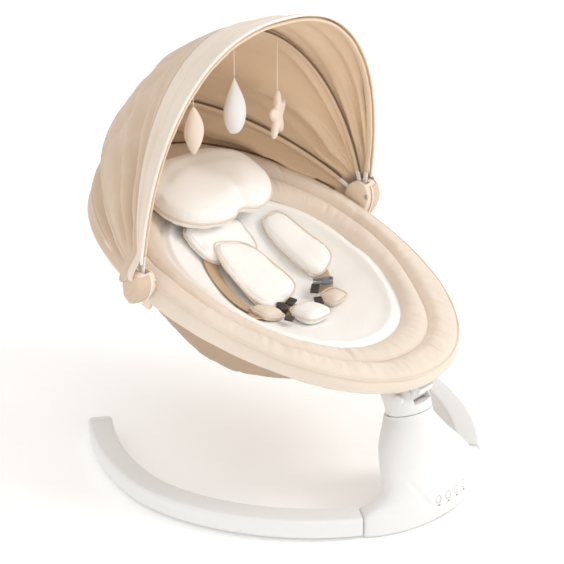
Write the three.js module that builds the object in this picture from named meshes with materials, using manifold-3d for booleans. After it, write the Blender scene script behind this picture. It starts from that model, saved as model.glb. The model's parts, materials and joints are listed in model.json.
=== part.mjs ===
// Baby swing: an open ring base with a drive column, a seat that swings on a leaning shaft,
// a reclining hammock with a padded rim, and a folding canopy with three hanging toys.
// Millimetres and degrees, +Z up, the foot of the seat towards -Y.

import * as THREE from 'three';
import { mergeVertices } from 'three/addons/utils/BufferGeometryUtils.js';
import Module from 'manifold-3d';

const wasm = await Module();
wasm.setup();

// ---------------------------------------------------------------- driving dimensions

const GAP = 0.3;                    // clearance between pieces that touch
const MODEL_SHIFT = 6.44;           // moves the whole model along Y so that its box is centred

const RING = { x: 275, front: 316, rear: 326, power: 1.77 };   // centreline of the base ring
const LEG = { width: 38, height: 31.5, wall: 2.5, bottom: 2.5, start: 0.53, end: 2.26 };
const FOOT = { radius: 9, height: LEG.bottom - GAP };
const HOUSING = { wall: 3, neckDepth: 8, neckBore: 15, sides: 46 };

const SWING = { y: -250, z: 139, lean: 18, neckRadius: 33.6, shaftRadius: 7 };
const BUTTON = { radius: 5.2, length: 9, spacing: 19.2, y: -331.6, z: 35, proud: 1.6, tilt: 10 };
const PIVOT = { y: -15, z: 27, radius: 11, halfWidth: 17 };    // recline hinge, in the swing frame

const HUB = { x: 237, y: 42, z: 324.4 };                       // canopy hinge axis, also the seat frame's origin
const SEAT_TILT = 17;
const RIM = { x: 225, foot: 346, head: 294, centre: -7, power: 2.08, level: -17 };
const INSERT = { x: 152, foot: 222, head: 175, centre: -30, power: 2.12, level: -24 };
const TUBE = { inset: 15, level: -31, radius: 7 };             // steel hoop under the rim pad

const BOW = { width: 7, height: 3.4, steps: 30 };
const BOWS = {
  front: { x: 241.3, reach: 337, angle: 97.6, power: 2.4 },
  mid: { x: 237.7, reach: 314, angle: 80.5, power: 1.92 },
  rear: { x: 234.1, reach: 306, angle: 32, power: 1.7 },
};
const CANOPY_HEM = { x: 231, reach: 278, angle: 18.4, power: 2.1 };   // where the canopy meets the rim
const FABRIC = 2;

// ---------------------------------------------------------------- small helpers

const rad = THREE.MathUtils.degToRad;
const vec = (x, y, z) => new THREE.Vector3(x, y, z);
const range = (count) => Array.from({ length: count }, (_, i) => i);
const curved = (value, power) => Math.sign(value) * Math.abs(value) ** power;
const mix = THREE.MathUtils.lerp;

const seatFrame = new THREE.Matrix4().makeRotationX(rad(SEAT_TILT)).setPosition(0, HUB.y, HUB.z);
const swingFrame = new THREE.Matrix4().makeRotationX(-rad(SWING.lean)).setPosition(0, SWING.y, SWING.z);
const hubFrame = new THREE.Matrix4().makeTranslation(0, HUB.y, HUB.z);

function triangulate(ring) {
  const normal = vec(0, 0, 0);
  ring.forEach((p, i) => normal.add(p.clone().cross(ring[(i + 1) % ring.length])));
  const size = normal.toArray().map(Math.abs);
  const drop = size.indexOf(Math.max(...size));
  const flat = ring.map((p) => new THREE.Vector2(...p.toArray().filter((_, axis) => axis !== drop)));
  const faces = THREE.ShapeUtils.triangulateShape(flat, []);
  return THREE.ShapeUtils.isClockWise(flat) ? faces.map((f) => [f[0], f[2], f[1]]) : faces;
}

// A closed solid through rings of points; a closed loft joins its last ring to its first.
function loft(rings, closed = false) {
  const count = rings[0].length;
  const index = [];
  const rows = closed ? rings.length : rings.length - 1;
  for (let i = 0; i < rows; i++) {
    const here = i * count;
    const next = ((i + 1) % rings.length) * count;
    for (let j = 0; j < count; j++) {
      const k = (j + 1) % count;
      index.push(here + j, here + k, next + k, here + j, next + k, next + j);
    }
  }
  if (!closed) {
    index.push(...capFaces(rings, 0), ...capFaces(rings, rings.length - 1));
  }
  return closedGeometry(rings.flat().flatMap((p) => p.toArray()), index);
}

// The two end faces of a loft wind opposite to its side faces' open edges.
function capFaces(rings, row) {
  const ring = rings[row];
  const offset = row * ring.length;
  const faces = triangulate(ring);
  const goesForward = faces.some((f) => range(3).some((i) => f[(i + 1) % 3] === (f[i] + 1) % ring.length));
  const wantsForward = row !== 0;
  return faces.flatMap((f) => (goesForward === wantsForward ? f : [f[0], f[2], f[1]])).map((i) => i + offset);
}

function closedGeometry(positions, index) {
  const geometry = new THREE.BufferGeometry();
  geometry.setAttribute('position', new THREE.Float32BufferAttribute(positions, 3));
  let volume = 0;
  const corner = (i) => vec(...positions.slice(3 * i, 3 * i + 3));
  for (let i = 0; i < index.length; i += 3) {
    volume += corner(index[i]).dot(corner(index[i + 1]).cross(corner(index[i + 2])));
  }
  geometry.setIndex(volume < 0 ? index.toReversed() : index);
  return geometry;
}

function toSolid(geometry) {
  const bare = geometry.clone();
  bare.deleteAttribute('normal');
  bare.deleteAttribute('uv');
  const merged = mergeVertices(bare, 1e-4);
  return new wasm.Manifold(new wasm.Mesh({
    numProp: 3,
    vertProperties: new Float32Array(merged.attributes.position.array),
    triVerts: new Uint32Array(merged.index.array),
  }));
}

function toGeometry(solid) {
  const { vertProperties, triVerts } = solid.getMesh();
  const geometry = new THREE.BufferGeometry();
  geometry.setAttribute('position', new THREE.BufferAttribute(vertProperties, 3));
  geometry.setIndex(new THREE.BufferAttribute(triVerts, 1));
  return geometry;
}

const placed = (geometry, matrix) => geometry.clone().applyMatrix4(matrix);
const boxAt = (low, high) => new THREE.BoxGeometry(high[0] - low[0], high[1] - low[1], high[2] - low[2])
  .translate((low[0] + high[0]) / 2, (low[1] + high[1]) / 2, (low[2] + high[2]) / 2);

// A cylinder along Z from one height to another.
const rod = (radius, low, high, sides = 20) => new THREE.CylinderGeometry(radius, radius, high - low, sides)
  .rotateX(Math.PI / 2).translate(0, 0, (low + high) / 2);

const rodAlongX = (radius, low, high, sides = 20) => rod(radius, low, high, sides).rotateY(Math.PI / 2);

function roundedRect(width, height, topRadius, bottomRadius, steps = 2) {
  const corners = [
    [width / 2 - topRadius, height - topRadius, topRadius, 0],
    [-width / 2 + topRadius, height - topRadius, topRadius, 90],
    [-width / 2 + bottomRadius, bottomRadius, bottomRadius, 180],
    [width / 2 - bottomRadius, bottomRadius, bottomRadius, 270],
  ];
  return corners.flatMap(([u, v, radius, start]) => range(steps + 1).map((i) => {
    const angle = rad(start + (90 * i) / steps);
    return [u + radius * Math.cos(angle), v + radius * Math.sin(angle)];
  }));
}

// A flat-bottomed dome over a superellipse outline, for pads: three rings and a flat base.
function padGeometry(halfX, halfY, thickness, power = 2.6, sides = 24) {
  const levels = [[0.9, 0], [1, 0.35], [0.95, 0.75], [0.72, 0.97]];
  return loft(levels.map(([scale, height]) => range(sides).map((i) => {
    const angle = (2 * Math.PI * i) / sides;
    return vec(
      halfX * scale * curved(Math.cos(angle), 2 / power),
      halfY * scale * curved(Math.sin(angle), 2 / power),
      thickness * height,
    );
  })));
}

// ---------------------------------------------------------------- materials

const PAINT = {
  whitePlastic: [0xf4f4f2, 0.35, 0],
  beigePlastic: [0xeadbc8, 0.4, 0],
  darkPlastic: [0x3a3532, 0.45, 0],
  greyPlastic: [0x76828c, 0.45, 0],
  steel: [0xa9acb0, 0.3, 1],
  copper: [0xb87345, 0.35, 1],
  board: [0x2f6b46, 0.6, 0],
  rubber: [0x4a4643, 0.9, 0],
  beigeFabric: [0xefe0cf, 0.95, 0],
  shadeFabric: [0xd9bf9f, 0.95, 0],
  creamFabric: [0xfffbf3, 0.95, 0],
  webbing: [0xd8bb98, 0.9, 0],
};

const swing = new THREE.Group();

function add(name, geometry, paint) {
  const [color, roughness, metalness] = PAINT[paint];
  const mesh = new THREE.Mesh(geometry, new THREE.MeshStandardMaterial({ color, roughness, metalness }));
  mesh.name = name;
  swing.add(mesh);
}

// ---------------------------------------------------------------- base ring

// Half of the ring: angle 0 is the front, and side -1 or +1 is left or right.
function ringAt(angle, side) {
  const lengthY = Math.cos(angle) > 0 ? RING.front : RING.rear;
  return vec(
    side * RING.x * curved(Math.sin(angle), 2 / RING.power),
    -lengthY * curved(Math.cos(angle), 2 / RING.power),
    0,
  );
}

function ringOutward(angle, side) {
  const ahead = ringAt(angle + 1e-3, side).sub(ringAt(angle - 1e-3, side)).normalize();
  return vec(-ahead.y * -side, -ahead.x * side, 0);
}

function legSection(angle, side, outline) {
  const centre = ringAt(angle, side);
  const outward = ringOutward(angle, side);
  return outline.map(([u, v]) => centre.clone().addScaledVector(outward, u).setZ(LEG.bottom + v));
}

function legSolid(side, inset, steps, from, to, cornerSteps) {
  const width = LEG.width - 2 * inset;
  const height = LEG.height - 2 * inset;
  const outline = roundedRect(width, height, Math.max(6 - inset, 1), Math.max(10 - inset, 1), cornerSteps)
    .map(([u, v]) => [u, v + inset]);
  return toSolid(loft(range(steps + 1).map((i) => legSection(mix(from, to, i / steps), side, outline))));
}

const CAP_SPAN = 0.05;
const capScale = [1, 1, 0.93, 0.74, 0.4];

function endCap(side) {
  const outline = roundedRect(LEG.width, LEG.height, 6, 10);
  return loft(capScale.map((scale, i) => {
    const angle = LEG.end + 0.002 + (CAP_SPAN * Math.sin((Math.PI / 2) * (i / (capScale.length - 1))));
    const shrunk = outline.map(([u, v]) => [u * scale, LEG.height / 2 + (v - LEG.height / 2) * mix(1, scale, 0.6)]);
    return legSection(angle, side, shrunk);
  }));
}

for (const [name, side] of [['left', -1], ['right', 1]]) {
  const outer = legSolid(side, 0, 20, LEG.start, LEG.end, 2);
  const inner = legSolid(side, LEG.wall, 20, LEG.start - 0.01, LEG.end + 0.01, 1);
  add(`${name}_leg`, toGeometry(outer.subtract(inner)), 'whitePlastic');
  add(`${name}_leg_end_cap`, endCap(side), 'whitePlastic');
  const rearFoot = ringAt(2.12, side);
  add(`rear_foot_${name}`, rod(FOOT.radius, 0, FOOT.height).translate(rearFoot.x, rearFoot.y, 0), 'rubber');
}

// ---------------------------------------------------------------- column housing

// Rows from the floor up: height, half-length along X, front and back edge at the middle,
// how far the row follows the ring's curve, and how square its ends are.
const HOUSING_ROWS = [
  [2.5, 125, -330, -256, 1, 9],
  [11, 125, -335, -252, 1, 9],
  [29, 125, -334.5, -251, 1, 9],
  [34, 122, -333, -248, 1, 7],
  [42, 109, -331, -240, 0.9, 4],
  [56, 92, -325.5, -230, 0.55, 2.6],
  [76, 74, -318, -223, 0.2, 2.2],
  [100, 57, -306.5, -218, 0, 2],
  [122, 43, -294.5, -215.5, 0, 2],
  [139, 33.6, -285.3, -214.7, 0, 2],
  [160, 33.6, -278.5, -207.9, 0, 2],
];

function ringBack(x) {
  return RING.front * (1 - (1 - (Math.abs(x) / RING.x) ** RING.power) ** (1 / RING.power));
}

function housingRow([z, halfLength, front, back, follow, power], inset, sides) {
  const centre = mix((front + back) / 2, -RING.front, follow);
  const legHalf = mix((back - front) / 2, LEG.width / 2, follow);
  return range(sides).map((i) => {
    const angle = (2 * Math.PI * (i + 0.5)) / sides;
    const share = Math.cos(angle);
    const x = (halfLength - inset * (1 - follow)) * share;
    const slope = follow * (ringBack(x + 0.5) - ringBack(x - 0.5));
    const normal = vec(slope, -1, 0).normalize();
    const swell = Math.exp(-((x / 52) ** 2));
    const forward = mix(legHalf, centre - front, swell) - inset;
    const backward = mix(legHalf, back - centre, swell) - inset;
    const fullness = Math.sign(Math.sin(angle)) * (1 - Math.abs(share) ** power) ** (1 / power);
    const depth = (fullness > 0 ? forward : backward) * fullness;
    return vec(x + depth * normal.x, centre + follow * ringBack(x) + depth * normal.y, z);
  });
}

function housingLoft(inset, sides, bottom) {
  const rows = HOUSING_ROWS.map((row) => housingRow(row, inset, sides));
  rows[0] = rows[0].map((p) => vec(p.x, p.y, bottom));
  return toSolid(loft(rows));
}

const inSwing = (geometry) => toSolid(placed(geometry, swingFrame));

const belowSeam = inSwing(boxAt([-300, -300, -300], [300, 300, -GAP]));
const belowNeck = inSwing(boxAt([-300, -300, -300], [300, 300, -HOUSING.neckDepth]));
const neckBore = inSwing(rod(HOUSING.neckBore, -20, 20, 28));
const hollow = housingLoft(HOUSING.wall, HOUSING.sides, -1).intersect(belowNeck);
let shell = housingLoft(0, HOUSING.sides, LEG.bottom).intersect(belowSeam).subtract(hollow).subtract(neckBore);

// The four buttons stand in a gently curved row, square to the front face.
const buttonNames = ['power', 'swing', 'music', 'timer'];
const buttonPlaces = buttonNames.map((name, i) => {
  const x = (i - 1.5) * BUTTON.spacing;
  const matrix = new THREE.Matrix4().makeRotationX(rad(90 - BUTTON.tilt));
  return { name, matrix: matrix.setPosition(x, BUTTON.y + 2.9 * (x / 30) ** 2, BUTTON.z) };
});
for (const { matrix } of buttonPlaces) {
  shell = shell.subtract(toSolid(placed(rod(BUTTON.radius + GAP, -20, 10, 18), matrix)));
}

const inletPlace = new THREE.Matrix4().makeRotationX(Math.PI / 2).setPosition(0, -250, 24);
shell = shell.subtract(toSolid(placed(rod(6 + GAP, -10, 14, 18), inletPlace)));

const coverRegion = inSwing(boxAt([-46, 4, -128], [46, 90, -HOUSING.neckDepth - 2]));
const coverRoom = inSwing(boxAt([-46 - GAP, 4 - GAP, -128 - GAP], [46 + GAP, 90, -HOUSING.neckDepth - 2 + GAP]));
add('base_housing', toGeometry(shell.subtract(coverRoom)), 'whitePlastic');
add('rear_cover', toGeometry(shell.intersect(coverRegion)), 'whitePlastic');

const plateRows = [LEG.bottom, LEG.bottom + 3].map((z) => housingRow([z, 119, -335, -252, 1, 9], HOUSING.wall + 5.5, 32));
add('bottom_plate', loft(plateRows), 'whitePlastic');
for (const [name, side] of [['left', -1], ['right', 1]]) {
  add(`front_foot_${name}`, rod(FOOT.radius, 0, FOOT.height).translate(side * 62, -305, 0), 'rubber');
}
for (const { name, matrix } of buttonPlaces) {
  const cap = loft([[1, -BUTTON.length + BUTTON.proud], [1, BUTTON.proud - 0.6], [0.86, BUTTON.proud]].map(
    ([scale, z]) => range(18).map((i) => {
      const angle = (2 * Math.PI * i) / 18;
      return vec(BUTTON.radius * scale * Math.cos(angle), BUTTON.radius * scale * Math.sin(angle), z);
    }),
  ));
  add(`${name}_button`, placed(cap, matrix), 'whitePlastic');
}

// ---------------------------------------------------------------- inside the column

const BOARD_DEPTH = 13;
const boardPlace = new THREE.Matrix4().makeRotationX(rad(90 - BUTTON.tilt)).setPosition(0, BUTTON.y, BUTTON.z);
add('control_board', placed(boxAt([-36, -11, -BOARD_DEPTH - 2], [36, 11, -BOARD_DEPTH]), boardPlace), 'board');
add('speaker', rod(20, 6, 17, 24).translate(0, -288, 0), 'darkPlastic');

const jack = toSolid(rod(6, -6, 4.5, 18)).subtract(toSolid(rod(3, -2, 10, 14)));
add('dc_inlet', placed(toGeometry(jack), inletPlace), 'darkPlastic');

const BEARING = { bore: SWING.shaftRadius + 0.2, outside: 13, height: 7 };
const PLATE_LEVEL = -80;
const bearingRing = (low, outside) => toSolid(rod(outside, low, low + BEARING.height, 28))
  .subtract(toSolid(rod(BEARING.bore, low - 1, low + BEARING.height + 1, 28)));
add('upper_bearing', placed(toGeometry(bearingRing(-8, 14.7)), swingFrame), 'steel');
add('lower_bearing', placed(toGeometry(bearingRing(PLATE_LEVEL, BEARING.outside)), swingFrame), 'steel');

let frame = toSolid(boxAt([-24, -38, PLATE_LEVEL], [24, 16, PLATE_LEVEL + 7]));
for (const side of [-1, 1]) {
  const post = boxAt([21 * side - 3, -8, PLATE_LEVEL + 6], [21 * side + 3, 8, -HOUSING.neckDepth - GAP]);
  frame = frame.add(toSolid(post));
}
frame = frame.subtract(toSolid(rod(BEARING.outside + GAP, PLATE_LEVEL - 1, PLATE_LEVEL + 9, 28)));
add('drive_frame', placed(toGeometry(frame), swingFrame), 'greyPlastic');
add('drive_coil', placed(rod(8, PLATE_LEVEL + 7.3, PLATE_LEVEL + 20, 20).translate(0, -28, 0), swingFrame), 'copper');

const LEVER_LEVEL = PLATE_LEVEL + 32;
add('swing_shaft', placed(rod(SWING.shaftRadius, PLATE_LEVEL - 4, 18, 24), swingFrame), 'steel');
const lever = toSolid(rod(12, LEVER_LEVEL, LEVER_LEVEL + 8, 24))
  .add(toSolid(boxAt([-5, -34, LEVER_LEVEL], [5, -5, LEVER_LEVEL + 8])))
  .subtract(toSolid(rod(SWING.shaftRadius + GAP, LEVER_LEVEL - 1, LEVER_LEVEL + 9, 24)));
add('drive_lever', placed(toGeometry(lever), swingFrame), 'darkPlastic');
add('drive_magnet', placed(boxAt([-6, -34, LEVER_LEVEL - 9], [6, -22, LEVER_LEVEL - GAP]), swingFrame), 'steel');

// ---------------------------------------------------------------- swing head and recline hinge

// Local rows of the collar: height along the shaft, half-width, front edge and back edge.
const HEAD_ROWS = [
  [GAP, 33.6, -33.6, 33.6],
  [16, 33.6, -33.6, 34.5],
  [28, 33, -31, 37],
  [40, 30, -27, 38],
];
const headRings = HEAD_ROWS.map(([z, half, front, back]) => range(36).map((i) => {
  const angle = (2 * Math.PI * i) / 36;
  return vec(half * Math.cos(angle), (front + back) / 2 + ((back - front) / 2) * Math.sin(angle), z);
}));
const PIN_RADIUS = 4;
const KNOB = { radius: 7.5, inner: 29, outer: 36, seat: 25.5 };   // recline buttons, by distance from the middle
const atPivot = (geometry) => toSolid(geometry.translate(0, PIVOT.y, PIVOT.z));
let head = toSolid(loft(headRings));
head = head.subtract(toSolid(boxAt([-PIVOT.halfWidth - 0.6, -60, PIVOT.z - 13.5], [PIVOT.halfWidth + 0.6, 60, 60])));
head = head.subtract(toSolid(rod(SWING.shaftRadius + GAP, -5, 30, 24)));
head = head.subtract(atPivot(rodAlongX(PIN_RADIUS + GAP, -60, 60)));
for (const side of [-1, 1]) {
  head = head.subtract(atPivot(rodAlongX(KNOB.radius + GAP, 26 * side - 1, 26 * side + 1)));
  head = head.subtract(atPivot(boxAt([side > 0 ? KNOB.seat : -60, -8, -8], [side > 0 ? 60 : -KNOB.seat, 8, 8])));
}
add('swing_head', placed(toGeometry(head), swingFrame), 'whitePlastic');
add('recline_pin', placed(rodAlongX(PIN_RADIUS, -24.8, 24.8, 16).translate(0, PIVOT.y, PIVOT.z), swingFrame), 'steel');
for (const [name, side] of [['left', -1], ['right', 1]]) {
  const knob = rodAlongX(KNOB.radius, side > 0 ? KNOB.inner : -KNOB.outer, side > 0 ? KNOB.outer : -KNOB.inner, 20);
  add(`recline_button_${name}`, placed(knob.translate(0, PIVOT.y, PIVOT.z), swingFrame), 'whitePlastic');
}

// ---------------------------------------------------------------- seat shapes

// The rim's outline, set in from its outer edge; angle 0 is the foot.
function outlineAt(shape, angle, inset = 0) {
  const length = Math.cos(angle) > 0 ? shape.foot : shape.head;
  return new THREE.Vector2(
    (shape.x - inset) * curved(Math.sin(angle), 2 / shape.power),
    shape.centre - (length - inset) * curved(Math.cos(angle), 2 / shape.power),
  );
}

const turn = (count) => range(count).map((i) => (2 * Math.PI * (i + 0.5)) / count);

// A hoop whose section lists an inset from the rim's outline, a share of the way from there
// to the insert's outline, and a level.
const hoop = (section, count) => loft(turn(count).map((angle) => section.map(([inset, share, level]) => {
  const p = outlineAt(RIM, angle, inset).lerp(outlineAt(INSERT, angle, -1.5), share);
  return vec(p.x, p.y, level);
})), true);

const tubeSection = range(8).map((i) => [
  TUBE.inset + TUBE.radius * Math.cos((Math.PI * (i + 0.5)) / 4),
  0,
  TUBE.level + TUBE.radius * Math.sin((Math.PI * (i + 0.5)) / 4),
]);
const seatTube = hoop(tubeSection, 44);
add('seat_frame', placed(seatTube, seatFrame), 'steel');

const rimSection = [
  [1, 0, -25], [0, 0, -17], [4, 0, -7], [14, 0, -2], [20, 0.2, -3], [8, 0.55, -10], [0, 1, -21], [0, 1, -23.5],
  [30, 0, -22.5],
];
add('rim_pad', placed(hoop(rimSection, 44), seatFrame), 'beigeFabric');

// How deep the seat hollow is along its length: deepest under the hips, shallow at the head.
function hollowDepth(along, deepest, atHead, atFoot) {
  const hips = -75;
  const headward = THREE.MathUtils.smoothstep(along, hips, 230);
  const footward = THREE.MathUtils.smoothstep(-along, -hips, 300);
  return deepest - (deepest - atHead) * headward - (deepest - atFoot) * footward;
}

// A bowl of even thickness under an outline, from its open edge to its closed middle.
function bowl(shape, { level, edgeInset, depth, power, thickness, sides, rings }) {
  const surface = (drop) => range(rings).map((row) => {
    const reach = 1 - row / rings;
    return turn(sides).map((angle) => {
      const edge = outlineAt(shape, angle, edgeInset + drop.side);
      const x = edge.x * reach;
      const y = shape.centre + (edge.y - shape.centre) * reach;
      return vec(x, y, level - depth(y) * (1 - reach ** power) - drop.down * (row === 0 ? 0 : 1));
    });
  });
  const inside = surface({ side: thickness, down: 0 });
  const outside = surface({ side: 0, down: thickness });
  return loft([...inside.toReversed(), ...outside]);
}

const HAMMOCK = {
  level: -24.5, edgeInset: 25, power: 4, thickness: 3, sides: 34, rings: 7,
  depth: (along) => hollowDepth(along, 138, 72, 60),
};
add('hammock', placed(bowl(RIM, HAMMOCK), seatFrame), 'beigeFabric');

const LINER = {
  level: INSERT.level, edgeInset: 0, power: 2.6, thickness: 10, sides: 32, rings: 7,
  depth: (along) => hollowDepth(along, 56, 12, 30),
};
add('seat_insert', placed(bowl(INSERT, LINER), seatFrame), 'creamFabric');

// Height of the insert's upper face at a place in the seat.
function insertLevel(x, along) {
  const length = along < INSERT.centre ? INSERT.foot : INSERT.head;
  const width = (Math.abs(x) / (INSERT.x - LINER.thickness)) ** INSERT.power;
  const run = (Math.abs(along - INSERT.centre) / (length - LINER.thickness)) ** INSERT.power;
  const reach = Math.min((width + run) ** (1 / INSERT.power), 1);
  return INSERT.level - LINER.depth(along) * (1 - reach ** LINER.power);
}

// ---------------------------------------------------------------- soft pads and harness

const PAD_LIFT = 3;

// A pad or strap that follows the insert's hollow: a superellipse outline turned in the seat's plane.
function drapedPad({ x, along, turned = 0, halfWidth, halfLength, thickness, power = 3, sides = 20, lift = PAD_LIFT }) {
  const levels = [[0.93, 0], [1, 0.4], [0.94, 0.85], [0.8, 1]];
  const c = Math.cos(rad(turned));
  const s = Math.sin(rad(turned));
  return loft(levels.map(([scale, height]) => turn(sides).map((angle) => {
    const u = halfWidth * scale * curved(Math.cos(angle), 2 / power);
    const v = halfLength * (1 - (1 - scale) * Math.min(halfWidth / halfLength, 1)) * curved(Math.sin(angle), 2 / power);
    const px = x + c * u - s * v;
    const py = along + s * u + c * v;
    return vec(px, py, insertLevel(px, py) + lift + thickness * height);
  })));
}

const PADS = {
  shoulder_pad_right: { x: 89, along: -6, turned: 2, halfWidth: 30, halfLength: 74, thickness: 12 },
  shoulder_pad_left: { x: -12, along: 4, turned: 24, halfWidth: 31, halfLength: 84, thickness: 12 },
  crotch_pad: { x: 4, along: -122, turned: 0, halfWidth: 23, halfLength: 26, thickness: 9 },
  waist_pad_left: { x: -58, along: -84, turned: 14, halfWidth: 15, halfLength: 18, thickness: 9 },
  waist_pad_right: { x: 58, along: -116, turned: -10, halfWidth: 15, halfLength: 14, thickness: 9 },
};
for (const [name, shape] of Object.entries(PADS)) {
  add(name, placed(drapedPad(shape), seatFrame), name.startsWith('waist') ? 'beigeFabric' : 'creamFabric');
}

const STRAPS = {
  harness_strap_left: { x: -72, along: -22, turned: 4, halfWidth: 12, halfLength: 38, thickness: 2.2, power: 8 },
  harness_strap_right: { x: 72, along: -93, turned: -40, halfWidth: 9, halfLength: 8, thickness: 2.2, power: 8 },
};
for (const [name, shape] of Object.entries(STRAPS)) {
  add(name, placed(drapedPad(shape), seatFrame), 'webbing');
}
const BUCKLE = { x: -22, along: -86, turned: 0, halfWidth: 9, halfLength: 7, thickness: 8, power: 4, sides: 12 };
const TONGUE = { x: 94, along: -97, turned: 30, halfWidth: 8, halfLength: 10, thickness: 5, power: 4, sides: 12 };
add('harness_buckle', placed(drapedPad(BUCKLE), seatFrame), 'darkPlastic');
add('buckle_tongue', placed(drapedPad(TONGUE), seatFrame), 'greyPlastic');

const pillowFrame = new THREE.Matrix4().makeRotationX(rad(5)).setPosition(0, 133, -13);
const pillow = padGeometry(112, 78, 34, 2.6, 28);
add('head_pillow', placed(placed(pillow, pillowFrame), seatFrame), 'creamFabric');

// ---------------------------------------------------------------- seat bracket

const pivotWorld = vec(0, PIVOT.y, PIVOT.z).applyMatrix4(swingFrame);
const pivotSeat = pivotWorld.clone().applyMatrix4(seatFrame.clone().invert());
const atSeatPivot = (geometry) => toSolid(geometry.translate(0, pivotSeat.y, pivotSeat.z));
const tubeBottom = TUBE.level - TUBE.radius - GAP;
let bracket = atSeatPivot(rodAlongX(PIVOT.radius, -PIVOT.halfWidth, PIVOT.halfWidth, 24))
  .add(toSolid(boxAt([-15, pivotSeat.y - 9, pivotSeat.z], [15, pivotSeat.y + 9, tubeBottom - 2])))
  .add(toSolid(boxAt([-15, pivotSeat.y - 18, tubeBottom - 9], [15, pivotSeat.y + 15, tubeBottom])));
bracket = bracket.subtract(atSeatPivot(rodAlongX(PIN_RADIUS + GAP, -60, 60)));
add('seat_bracket', placed(toGeometry(bracket), seatFrame), 'whitePlastic');

// ---------------------------------------------------------------- canopy hubs

const HUB_PLATE = { inner: 226.6, outer: 230.2, radius: 23 };
const PIN_END = 243.2;
const COVER = { inner: 243.6, outer: 260, radius: 29 };

// An egg outline in the seat's plane of length and height, narrower towards the bottom.
function eggRing(x, scale, side, sides = 28) {
  return range(sides).map((i) => {
    const angle = (2 * Math.PI * i) / sides;
    const taper = 1 - 0.16 * (1 - Math.sin(angle)) / 2;
    return vec(side * x, COVER.radius * scale * taper * Math.cos(angle), COVER.radius * 1.12 * scale * Math.sin(angle) - 4);
  });
}

for (const [name, side] of [['left', -1], ['right', 1]]) {
  const across = (low, high) => (side > 0 ? [low, high] : [-high, -low]);
  const [plateLow, plateHigh] = across(HUB_PLATE.inner, HUB_PLATE.outer);
  const [pinLow, pinHigh] = across(HUB_PLATE.outer - 1, PIN_END);
  const [lugLow, lugHigh] = across(218, HUB_PLATE.outer);
  const base = toSolid(rodAlongX(HUB_PLATE.radius, plateLow, plateHigh, 28))
    .add(toSolid(boxAt([plateLow, -14, -46], [plateHigh, 14, 0])))
    .add(toSolid(boxAt([lugLow, -14, -46], [lugHigh, 14, -27])))
    .add(toSolid(rodAlongX(PIN_RADIUS, pinLow, pinHigh, 16)));
  add(`hub_base_${name}`, placed(toGeometry(base), seatFrame), 'whitePlastic');

  const cap = toSolid(loft([[COVER.inner, 1], [252, 1], [257, 0.92], [COVER.outer, 0.74]]
    .map(([x, scale]) => eggRing(x, scale, side))));
  const skirt = toSolid(loft([[231, 1], [COVER.inner + 1, 1]].map(([x, scale]) => eggRing(x, scale, side))))
    .subtract(toSolid(loft([[229, 0.9], [COVER.inner + 2, 0.9]].map(([x, scale]) => eggRing(x, scale, side)))))
    .subtract(toSolid(boxAt([...[across(225, 250)[0]], -60, -13], [across(225, 250)[1], 60, 60])));
  const recess = toSolid(rodAlongX(4.5, ...across(COVER.outer - 3, COVER.outer + 4), 16).translate(0, 4, 10));
  add(`hub_cover_${name}`, placed(toGeometry(cap.add(skirt).subtract(recess)), seatFrame), 'beigePlastic');
}

// ---------------------------------------------------------------- canopy bows and panels

// A place on a bow from the right hub (share 0) to the left hub (share 1), set off outwards in the
// bow's plane by rise and across it by side.
function bowPoint(bow, share, rise = 0, side = 0) {
  const flat = (s) => new THREE.Vector2(
    bow.x * curved(Math.cos(Math.PI * s), 2 / bow.power),
    bow.reach * curved(Math.sin(Math.PI * s), 2 / bow.power),
  );
  const here = flat(share);
  const ahead = flat(Math.min(share + 1e-3, 1)).sub(flat(Math.max(share - 1e-3, 0))).normalize();
  const u = here.x + rise * ahead.y;
  const v = here.y - rise * ahead.x;
  const angle = rad(bow.angle);
  return vec(u, v * Math.cos(angle) - side * Math.sin(angle), v * Math.sin(angle) + side * Math.cos(angle));
}

// The share of a bow at which it has risen to a given reach from the hub axis.
const shareAtReach = (bow, reach) => Math.asin((reach / bow.reach) ** (bow.power / 2)) / Math.PI;

const bowSection = [[-0.5, -0.3], [-0.3, -0.5], [0.3, -0.5], [0.5, -0.3], [0.5, 0.3], [0.3, 0.5], [-0.3, 0.5], [-0.5, 0.3]]
  .map(([across, up]) => [across * BOW.width, up * BOW.height]);
const EYE = { radius: 11, thickness: 3 };

for (const [name, bow] of Object.entries(BOWS)) {
  const start = shareAtReach(bow, 7);
  const rings = range(BOW.steps + 1).map((i) => {
    const share = mix(start, 1 - start, i / BOW.steps);
    return bowSection.map(([side, rise]) => bowPoint(bow, share, rise, side));
  });
  let solid = toSolid(loft(rings));
  for (const side of [-1, 1]) {
    const middle = side * bow.x;
    solid = solid.add(toSolid(rodAlongX(EYE.radius, middle - EYE.thickness / 2, middle + EYE.thickness / 2, 24)));
  }
  solid = solid.subtract(toSolid(rodAlongX(PIN_RADIUS + GAP, -300, 300, 16)));
  add(`${name}_bow`, placed(toGeometry(solid), hubFrame), 'whitePlastic');
}

const PANEL = { lift: 4.5, start: 38, columns: 26, rows: 4 };

// A fabric panel stretched between two arcs, each with its own sideways allowance.
function panel(from, to) {
  const edge = (arc, column, rise) => {
    const start = shareAtReach(arc.bow, PANEL.start);
    return bowPoint(arc.bow, mix(start, 1 - start, column / PANEL.columns), rise + arc.rise, arc.side);
  };
  const face = (row, rise) => range(PANEL.columns + 1).map((column) => edge(from, column, rise)
    .lerp(edge(to, column, rise), row / PANEL.rows));
  const rings = range(PANEL.rows + 1).map((row) => [
    ...face(row, PANEL.lift),
    ...face(row, PANEL.lift + FABRIC).toReversed(),
  ]);
  return loft(rings);
}

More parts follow.
